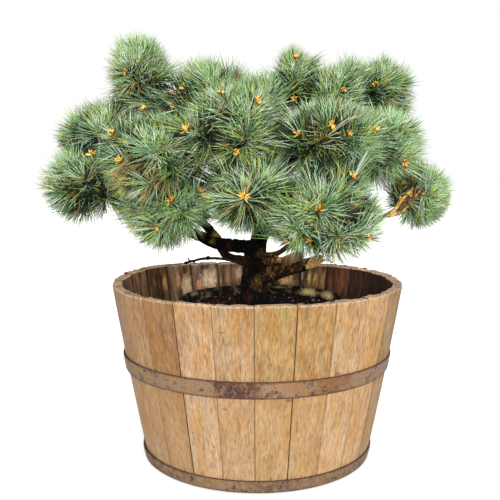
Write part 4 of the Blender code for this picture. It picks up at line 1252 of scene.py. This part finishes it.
def bark_lift(place, radius, ringed, along):
    """How far the bark stands out at a place: plates parted by cracks, fine roughness, rings on some limbs."""
    distances, _ = noise.voronoi(Vector((place.x * 95, place.y * 95, place.z * 55)))
    crack = min(1.0, (distances[1] - distances[0]) / 0.35)
    rough = noise.fractal(place * 240, 0.7, 2.2, 4)
    size = min(1.0, radius / 0.022)
    lift = (0.0030 * (crack - 0.55) + 0.0010 * rough) * size + 0.0005 * rough
    if ringed:
        lift += RING_HEIGHT * abs(math.sin(math.pi * along / RING_SPACING + 2.0 * rough))
    return lift


def make_bark(material):
    """The limbs' bark, with its relief, tan young wood with more tan on its upper faces as painted light, lichen and
    the flat pale ends that were sawn.
    """
    skin = make_limb_skin()
    spine = []
    for name, route, tan in limb_routes():
        along = 0.0
        before = route[0][0]
        for place, radius in route:
            along += (place - before).length
            before = place
            spine.append((place, radius, tan * min(1.0, along / TAN_RISE), name, along))
    tree = kdtree.KDTree(len(spine))
    for index, row in enumerate(spine):
        tree.insert(row[0], index)
    tree.balance()
    count = len(skin.vertices)
    moved = np.zeros((count, 3), np.float32)
    values = {key: np.zeros(count, np.float32) for key in ("tan", "golden", "lichen", "cut")}
    for vert in skin.vertices:
        _, index, _ = tree.find(vert.co)
        _, radius, tan, name, along = spine[index]
        place = vert.co + vert.normal * bark_lift(vert.co, radius, name in RINGED_LIMBS, along)
        values["golden"][vert.index] = float(name in GOLDEN_TWIGLETS)
        # More tan on upward faces: painted light from above
        values["tan"][vert.index] = tan * max(0.0, 0.55 + 0.45 * vert.normal.z)
        for middle, reach, strength in LICHEN_SPOTS:
            near = 1.0 - (vert.co - Vector(middle)).length / reach
            if near > 0.0 and vert.normal.z > -0.3:
                values["lichen"][vert.index] = strength * min(1.0, 2.5 * near)
        for middle, facing, reach in CUTS:
            facing = Vector(facing).normalized()
            beyond = (place - Vector(middle)).dot(facing)
            if beyond > 0.0 and (place - Vector(middle)).length < reach:
                place -= beyond * facing
                values["cut"][vert.index] = 1.0
        moved[vert.index] = place
    skin.vertices.foreach_set("co", moved.ravel())
    for key, value in values.items():
        skin.attributes.new(key, "FLOAT", "POINT").data.foreach_set("value", value)
    skin.update()
    skin.shade_smooth()
    add_piece("limbs_bark", skin, material, "bark", "trunk", "sawn_bough", *BOUGHS)


def trunk_point(height):
    """The trunk's axis at a height."""
    route = smooth_route(TRUNK, 2)
    heights = [place.z for place, _ in route]
    columns = [[place[axis] for place, _ in route] for axis in range(3)]
    return Vector([float(np.interp(height, heights, column)) for column in columns])


def heart_of(name):
    """The point in a mass from which its twigs spread: on its carrier's side of the middle."""
    carrier, middle, reach = MASSES[name]
    middle = Vector(middle)
    if isinstance(carrier, float):
        foot = trunk_point(carrier)
    else:
        foot = Vector((TRUNK if carrier == "trunk" else BOUGHS[carrier])[-1][0])
    return middle + HEART_SHARE * min(reach) * (foot - middle).normalized()


def stem_route(name):
    """A mass's stem, from its bough's tip or from the trunk's axis to its heart."""
    carrier = MASSES[name][0]
    heart = heart_of(name)
    if isinstance(carrier, float):
        foot = trunk_point(carrier)
        reach = (heart - foot).length
        level = Vector((heart.x - foot.x, heart.y - foot.y, 0.0)).normalized()
        bend = foot + 0.45 * reach * level + Vector((0.0, 0.0, 0.3 * (heart.z - foot.z)))
        radius = STEM_RADIUS
    else:
        limb_route = smooth_route(TRUNK if carrier == "trunk" else BOUGHS[carrier], 2)
        tip, radius = limb_route[-1]
        outward = (tip - limb_route[-2][0]).normalized()
        foot = tip + CLEARANCE * outward
        bend = foot + 0.4 * (heart - foot).length * outward
    route = []
    for t in (0.0, 0.12, 0.4, 0.7, 1.0):
        place = (1 - t) ** 2 * foot + 2 * t * (1 - t) * bend + t**2 * heart
        route.append((place, radius + t * (STEM_TIP_RADIUS - radius)))
    return route


def in_space(name, point):
    """Whether a point is in a mass's own space, the ellipsoid of its reach."""
    _, middle, reach = MASSES[name]
    offset = point - Vector(middle)
    return Vector([part / size for part, size in zip(offset, reach)]).length < 1.0


def spray_scale(name):
    """Sprays are shorter in a mass that is narrower than a spray is long."""
    return min(1.0, min(MASSES[name][2]) / SPRAY_LENGTH)


def shoot_rng(name, index):
    return np.random.default_rng([SEED, list(MASSES).index(name), index])


def shoot_count(name):
    """A mass at a limb's tip has one more twig than the others: its leader."""
    return SHOOTS_PER_MASS + (not isinstance(MASSES[name][0], float))


def shoot_tip(name, index, rng):
    """Where a twig ends, short of the mass's surface by its needles. The leader goes straight on."""
    _, middle, reach = MASSES[name]
    heart = heart_of(name)
    level = max(-1.0, 1.0 - 2.0 * (index + 0.5) / SHOOTS_PER_MASS)
    turn = index * GOLDEN_ANGLE + float(rng.uniform(-0.4, 0.4))
    flat = math.sqrt(1.0 - level**2)
    toward = Vector((flat * math.cos(turn), flat * math.sin(turn), level + SHOOT_LIFT))
    outward = (Vector(middle) - heart).normalized()
    toward = outward if index == SHOOTS_PER_MASS else (toward + SHOOT_LEAN * outward).normalized()
    surface = Vector(middle) + Vector([part * size for part, size in zip(toward, reach)])
    return surface - spray_scale(name) * NEEDLE_REACH * (surface - heart).normalized()


def twig_foot(stem, index):
    """Where a mass's twig leaves its stem: spaced along the stem's last stretch."""
    along = min(1.0, (index + 1) / SHOOTS_PER_MASS)
    share = along * (len(stem) - 1 - FIRST_TWIG) + FIRST_TWIG
    step = min(int(share), len(stem) - 2)
    return stem[step][0].lerp(stem[step + 1][0], share - step)


def side_shoots(name, index, foot, tip, rng):
    """Finer shoots that branch off a twig and stay in the mass's space."""
    axis = (tip - foot).normalized()
    length = (tip - foot).length
    shoots = []
    for k in range(SIDE_SHOOTS):
        start = foot.lerp(tip, 0.30 + 0.55 * (k + 0.5) / SIDE_SHOOTS)
        radial = axis.orthogonal().normalized()
        radial.rotate(Matrix.Rotation(k * GOLDEN_ANGLE + float(rng.uniform(0, math.tau)), 3, axis))
        tilt = math.radians(float(rng.uniform(38.0, 62.0)))
        direction = (math.cos(tilt) * axis + math.sin(tilt) * radial + Vector((0, 0, 0.25))).normalized()
        reach = max(0.030, length * float(rng.uniform(0.55, 0.95)))
        while reach > 0.022 and not in_space(name, start + (reach + 0.75 * NEEDLE_REACH) * direction):
            reach -= 0.006
        if reach > 0.022:
            shoots.append((start, start + reach * direction))
    return shoots


def unit(rows):
    return rows / np.linalg.norm(rows, axis=1)[:, None]


def shoot_bend(foot, tip):
    """The middle handle of a shoot's curve: it leaves low and turns up towards its tip."""
    return foot.lerp(tip, 0.5) - Vector((0.0, 0.0, SHOOT_RISE * (tip - foot).length))


def along_shoot(foot, bend, tip, shares):
    """Places and headings on a shoot's curve, at an array of shares of its length."""
    foot, bend, tip = (np.array(place)[None, :] for place in (foot, bend, tip))
    t = np.asarray(shares)[:, None]
    places = (1 - t) ** 2 * foot + 2 * t * (1 - t) * bend + t**2 * tip
    headings = (1 - t) * (bend - foot) + t * (tip - bend)
    return places, unit(headings)


def needle_bundles(foot, tip, count, rng):
    """Roots and directions of a shoot's needle bundles: forward at its tip, spread out behind it."""
    length = (tip - foot).length
    needled = min(NEEDLED_LENGTH, 0.92 * length)
    order = (np.arange(count) + 0.5) / count
    roots, axes = along_shoot(foot, shoot_bend(foot, tip), tip, 1.0 - order * needled / length)
    first = unit(np.cross(axes, np.array((0.31, -0.52, 0.79))[None, :]))
    second = np.cross(axes, first)
    turn = np.arange(count) * GOLDEN_ANGLE + rng.uniform(-0.35, 0.35, count)
    tilt = np.radians(TIP_TILT + (BASE_TILT - TIP_TILT) * order**0.7 + rng.normal(0.0, 6.0, count))
    radial = np.cos(turn)[:, None] * first + np.sin(turn)[:, None] * second
    directions = np.cos(tilt)[:, None] * axes + np.sin(tilt)[:, None] * radial
    return roots, unit(directions + np.array((0.0, 0.0, UPTURN))), order


def crown_depth(points):
    """How far out each point is in the crown: 0 in the middle of a mass and 1 on the surface of the masses."""
    depth = np.full(len(points), np.inf)
    rooms = [room[1:] for room in MASSES.values()] + list(MEETINGS)
    for middle, reach in rooms:
        depth = np.minimum(depth, np.linalg.norm((points - np.array(middle)) / np.array(reach), axis=1))
    return depth


def in_bare_spot(points):
    bare = np.zeros(len(points), bool)
    for place, radius in BARE_SPOTS:
        bare |= np.linalg.norm(points - np.array(place), axis=1) < radius
    return bare


def trimmed(roots, directions, lengths, margin, rng):
    """Needle lengths cut short where they would leave the crown, with 0 where too little is left."""
    margins = margin - 0.10 * rng.uniform(0.0, 1.0, len(roots)) ** 2
    fitted = np.zeros(len(roots))
    for share in TRIM_STEPS:
        reach = lengths * share
        ends = roots + directions * reach[:, None]
        fits = (crown_depth(ends) < margins) & ~in_bare_spot(ends)
        fits &= ~in_bare_spot(roots + 0.75 * directions * reach[:, None])
        fitted = np.where(fits & (fitted == 0.0), reach, fitted)
    return fitted


def clear_of_buds(roots, directions, lengths, tips, axes):
    """Which needles stay out of the narrow cone in front of every main shoot's buds."""
    clear = np.ones(len(roots), bool)
    for share in (0.15, 0.3, 0.45, 0.6, 0.75, 0.9, 1.0):
        places = roots + directions * (lengths * share)[:, None]
        for tip, axis in zip(tips, axes):
            ahead = (places - tip) @ axis
            aside = np.linalg.norm(places - tip - ahead[:, None] * axis, axis=1)
            hidden = (ahead > 0.0) & (ahead < BUD_VIEW) & (aside < BUD_VIEW_RADIUS + BUD_VIEW_SPREAD * ahead)
            clear &= ~hidden
    return clear


def spike_arrays(roots, directions, lengths, radius, rings, sides, bend):
    """Slender closed spikes as points and triangles. Each ring is a share of the length and of the radius."""
    count = len(roots)
    side = unit(np.cross(directions, np.roll(directions, 1, axis=1) + np.array((0.13, 0.41, 0.27))))
    other = np.cross(directions, side)
    levels = []
    for share, swell in rings:
        centre = roots + directions * (lengths * share)[:, None] + bend * (lengths * share**2)[:, None]
        for k in range(sides):
            turn = k / sides * math.tau
            levels.append(centre + radius * swell * (math.cos(turn) * side + math.sin(turn) * other))
    levels.append(roots + (directions + bend) * lengths[:, None])
    points = np.stack(levels, axis=1).reshape(-1, 3)
    tip = len(rings) * sides
    pattern = []
    for row in range(0, tip - sides, sides):
        for k in range(sides):
            j = (k + 1) % sides
            pattern += [(row + k, row + j, row + sides + j), (row + k, row + sides + j, row + sides + k)]
    for k in range(sides):
        pattern.append((tip - sides + k, tip - sides + (k + 1) % sides, tip))
    triangles = (np.arange(count) * (tip + 1))[:, None, None] + np.array(pattern)[None]
    return points, triangles.reshape(-1, 3)


def all_shoots():
    """Every shoot that bears needles, as foot, tip and kind: front, main or side."""
    shoots = []
    for name in MASSES:
        stem = stem_route(name)
        for index in range(shoot_count(name)):
            foot = twig_foot(stem, index)
            tip = shoot_tip(name, index, shoot_rng(name, index))
            shoots.append((foot, tip, "main"))
            rng = shoot_rng(name, index + 2 * SHOOTS_PER_MASS)
            for start, end in side_shoots(name, index, foot, tip, rng):
                shoots.append((start, end, "side"))
    for name, tip, _ in FRONT_SHOOTS:
        shoots.append((stem_route(name)[-1][0], Vector(tip), "front"))
    for name, tip in FILLING_SHOOTS:
        shoots.append((stem_route(name)[-1][0], Vector(tip), "side"))
    return shoots


def bud_views(shoots):
    """Tip and direction of the cone in front of every star of buds that shows."""
    tips = []
    ways = []
    for foot, tip, kind in shoots:
        axis = along_shoot(foot, shoot_bend(foot, tip), tip, [1.0])[1][0]
        if kind == "front":
            toward = np.array((Vector(CAMERA_PLACE) - tip).normalized())
            axis = 0.4 * axis + 0.6 * toward
        if kind == "front" or (kind == "main" and axis[1] > AWAY):
            tips.append(np.array(tip))
            ways.append(axis / np.linalg.norm(axis))
    for place in OPEN_VIEWS:
        tips.append(np.array(place))
        ways.append(np.array((Vector(CAMERA_PLACE) - Vector(place)).normalized()))
    return tips, ways


def make_twigs(shoots, material):
    points = []
    faces = []
    routes = [stem_route(name) for name in MASSES]
    for foot, tip, kind in shoots:
        base = TWIG_RADIUS if kind == "main" else 0.75 * TWIG_RADIUS
        places, _ = along_shoot(foot, shoot_bend(foot, tip), tip, np.linspace(0.0, 1.0, 6))
        radii = np.linspace(base, TWIG_TIP_RADIUS, 6)
        routes.append([(Vector(place), float(radius)) for place, radius in zip(places, radii)])
    for route in routes:
        some, quads = tube_arrays(route, 6)
        faces += [tuple(len(points) + k for k in quad) for quad in quads]
        points += some
    mesh = bpy.data.meshes.new("twigs")
    mesh.from_pydata(points, [], faces)
    mesh.shade_smooth()
    add_piece("twigs", mesh, material, "bark")


def shading(places):
    """How many times as many dark needles as elsewhere each place has: more as painted shade, fewer as painted light.
    """
    factors = np.ones(len(places))
    for middle, radius, factor in PAINTED_LIGHT_AND_SHADE_SPOTS:
        factors[np.linalg.norm(places - np.array(middle), axis=1) < radius] = factor
    return factors


def deal_colours(order, depths, shades, dead, rng):
    """A colour for each bundle of one shoot: the old, tan and brown ones lie far from its tip, dark ones deep in the
    crown as painted shade, with more or fewer dark ones by place as painted shade and light.
    """
    names = [name for name, _, _ in NEEDLE_COLOURS]
    shares = np.array([share for _, _, share in NEEDLE_COLOURS])
    shares = shares * np.exp(rng.normal(0.0, 0.45, len(shares)))
    chances = np.tile(shares, (len(order), 1))
    old = np.isin(names, ("deep", "tan", "brown"))
    chances[:, old] *= (0.25 + 1.9 * order)[:, None]
    # Painted shade: dark needles deep in the crown, and more or fewer of them by place as painted shade and light
    chances[:, names.index("deep")] *= np.where(depths < SHADE_DEPTH, 9.0, 1.0) * shades
    chances[np.ix_(dead, ~np.isin(names, ("tan", "brown")))] *= 0.05
    limits = np.cumsum(chances / chances.sum(axis=1)[:, None], axis=1)
    return (rng.uniform(0.0, 1.0, len(order))[:, None] > limits[:, :-1]).sum(axis=1)


def is_dead(places):
    """Which bundles lie where the needles have died."""
    dead = np.zeros(len(places), bool)
    for middle, radius in DEAD_SPOTS:
        dead |= np.linalg.norm(places - np.array(middle), axis=1) < radius
    return dead


def grow_needles(shoots):
    """Roots, directions and lengths of all needles, sorted into the colour groups."""
    groups = [[] for _ in NEEDLE_COLOURS]
    rng = np.random.default_rng([SEED, 7])
    tips, ways = bud_views(shoots)
    for foot, tip, kind in shoots:
        count = BUNDLES_PER_SIDE_SHOOT if kind == "side" else BUNDLES_PER_SHOOT
        roots, directions, order = needle_bundles(foot, tip, count, rng)
        longest = NEEDLE_LENGTH * rng.uniform(0.84, 1.0, count) * (0.88 if kind == "side" else 1.0)
        lengths = trimmed(roots, directions, longest, float(rng.uniform(*REACH_SHARES)), rng)
        lengths *= clear_of_buds(roots, directions, lengths, tips, ways)
        ends = roots + directions * lengths[:, None]
        middles = roots + 0.4 * directions * lengths[:, None]
        picked = deal_colours(order, crown_depth(ends), shading(middles), is_dead(middles), rng)
        side = unit(np.cross(directions, rng.normal(size=(count, 3))))
        other = np.cross(directions, side)
        for k in range(NEEDLES_PER_BUNDLE):
            turn = k / NEEDLES_PER_BUNDLE * math.tau
            spread = BUNDLE_SPREAD * rng.uniform(0.5, 1.3, (count, 1))
            own = unit(directions + spread * (math.cos(turn) * side + math.sin(turn) * other))
            reach = lengths * rng.uniform(0.90, 1.0, count)
            for group in range(len(groups)):
                mine = (lengths > 0.0) & (picked == group)
                groups[group].append((roots[mine], own[mine], reach[mine]))
    return [[np.concatenate(column) for column in zip(*group)] for group in groups]


def make_needles(shoots):
    """All needles, in pieces of one plain colour each."""
    rng = np.random.default_rng([SEED, 9])
    for (name, base, _), (roots, directions, lengths) in zip(NEEDLE_COLOURS, grow_needles(shoots)):
        material = plain_material(f"needle_{name}", surface(*base, NEEDLE_LIGHT), 0.45)
        for start in range(0, len(roots), MOST_PER_PIECE):
            part = slice(start, start + MOST_PER_PIECE)
            bend = rng.normal(0.0, 0.05, (len(roots[part]), 3)) + np.array((0.0, 0.0, -0.04))
            points, triangles = spike_arrays(roots[part], directions[part], lengths[part], NEEDLE_RADIUS,
                                             ((0.0, 1.0), (0.6, 0.9)), 3, bend)
            mesh = array_mesh(f"needles_{name}_{start // MOST_PER_PIECE + 1}", points, triangles)
            nodes = list(MASSES) if mesh.name == "needles_pale_1" else []
            add_piece(mesh.name, mesh, material, "foliage", *nodes)


def bud_star(foot, tip, size, count, rng):
    """Roots, directions and lengths of a star of buds round a shoot's tip."""
    axis = along_shoot(foot, shoot_bend(foot, tip), tip, [1.0])[1][0]
    first = unit(np.cross(axis, (0.31, -0.52, 0.79))[None, :])[0]
    second = np.cross(axis, first)
    buds = []
    for k in range(count):
        tilt = 0.0 if k == 0 else math.radians(float(rng.uniform(*BUD_TILTS)))
        turn = k * GOLDEN_ANGLE
        radial = math.cos(turn) * first + math.sin(turn) * second
        direction = math.cos(tilt) * axis + math.sin(tilt) * radial
        length = size * BUD_LENGTH * float(rng.uniform(0.6, 1.1))
        buds.append((np.array(tip) + 0.0012 * direction, direction, length))
    return buds


def make_buds(shoots):
    """Stars of long scaly buds at the front and main shoots' tips, and a few brown buds at the others."""
    rng = np.random.default_rng([SEED, 8])
    kinds = {name: [] for name in BUD_TONES}
    sizes = iter([size for _, _, size in FRONT_SHOOTS])
    for foot, tip, kind in shoots:
        axis = along_shoot(foot, shoot_bend(foot, tip), tip, [1.0])[1][0]
        if kind == "front":
            size = next(sizes)
            buds = bud_star(foot, tip, size, int(8 + 10 * size), rng)
        elif kind == "main" and axis[1] > AWAY:
            buds = bud_star(foot, tip, 0.85, 12, rng)
        else:
            buds = bud_star(foot, tip, 0.55, 4, rng)
        for bud in buds:
            names = ("brown", "russet") if len(buds) < 5 else ("orange", "tan", "russet")
            kinds[names[int(rng.integers(len(names)))]].append(bud)
    for kind, buds in kinds.items():
        roots, directions, lengths = (np.array(column) for column in zip(*buds))
        rings = ((0.0, 0.6), (0.25, 1.0), (0.6, 0.85), (0.85, 0.4))
        points, triangles = spike_arrays(roots, directions, lengths, BUD_RADIUS, rings, 6, 0.0 * directions)
        mesh = array_mesh(f"buds_{kind}", points, triangles)
        material = plain_material(f"bud_{kind}", surface(*BUD_TONES[kind], NEEDLE_LIGHT), 0.6)
        add_piece(mesh.name, mesh, material, "foliage")


def make_stage():
    bpy.ops.mesh.primitive_plane_add(size=30.0, location=(0.0, 8.0, -0.0005))
    floor = bpy.context.object
    floor.name = "floor"
    floor.data.materials.append(plain_material("pale_floor", (0.93, 0.93, 0.93, 1.0), 0.95, 0.1))


def make_light():
    """An even white surround, a large soft lamp from above the camera and a weaker one from low in front."""
    world = bpy.data.worlds.new("studio")
    bpy.context.scene.world = world
    world.use_nodes = True
    world.node_tree.nodes["Background"].inputs["Color"].default_value = (1.0, 1.0, 1.0, 1.0)
    world.node_tree.nodes["Background"].inputs["Strength"].default_value = WORLD_LIGHT
    for number, (place, energy, angle) in enumerate(LAMPS):
        data = bpy.data.lights.new(f"lamp_{number}", "SUN")
        data.energy = energy
        data.angle = angle
        lamp = bpy.data.objects.new(f"lamp_{number}", data)
        bpy.context.scene.collection.objects.link(lamp)
        lamp.rotation_euler = (-Vector(place)).to_track_quat("-Z", "Y").to_euler()
    bpy.context.scene.view_settings.view_transform = "Standard"


def make_camera():
    data = bpy.data.cameras.new("photo_view")
    data.sensor_width = 36.0
    data.lens = CAMERA_LENS
    data.shift_x = CAMERA_SHIFT
    camera = bpy.data.objects.new("photo_view", data)
    bpy.context.scene.collection.objects.link(camera)
    camera.location = CAMERA_PLACE
    camera.rotation_euler = (math.pi / 2 - CAMERA_PITCH, 0.0, 0.0)
    bpy.context.scene.camera = camera


def main():
    make_camera()
    make_light()
    make_stage()
    make_staves()
    make_hoop("middle_hoop", MIDDLE_HOOP, rust_material("middle_rust", MIDDLE_RUST))
    make_hoop("lower_hoop", LOWER_HOOP, rust_material("lower_rust", LOWER_RUST))
    make_pot(plastic_material())
    make_soil(earth_material())
    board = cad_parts["base_board"]
    board.data.materials.clear()
    board.data.materials.append(inner_wood_material("board_oak", INNER_TONE, (0.0, 0.0, 0.0), []))
    make_bark(bark_material())
    shoots = all_shoots()
    make_twigs(shoots, plain_material("twig_bark", surface(150, 112, 70), 0.85))
    make_needles(shoots)
    make_buds(shoots)


main()
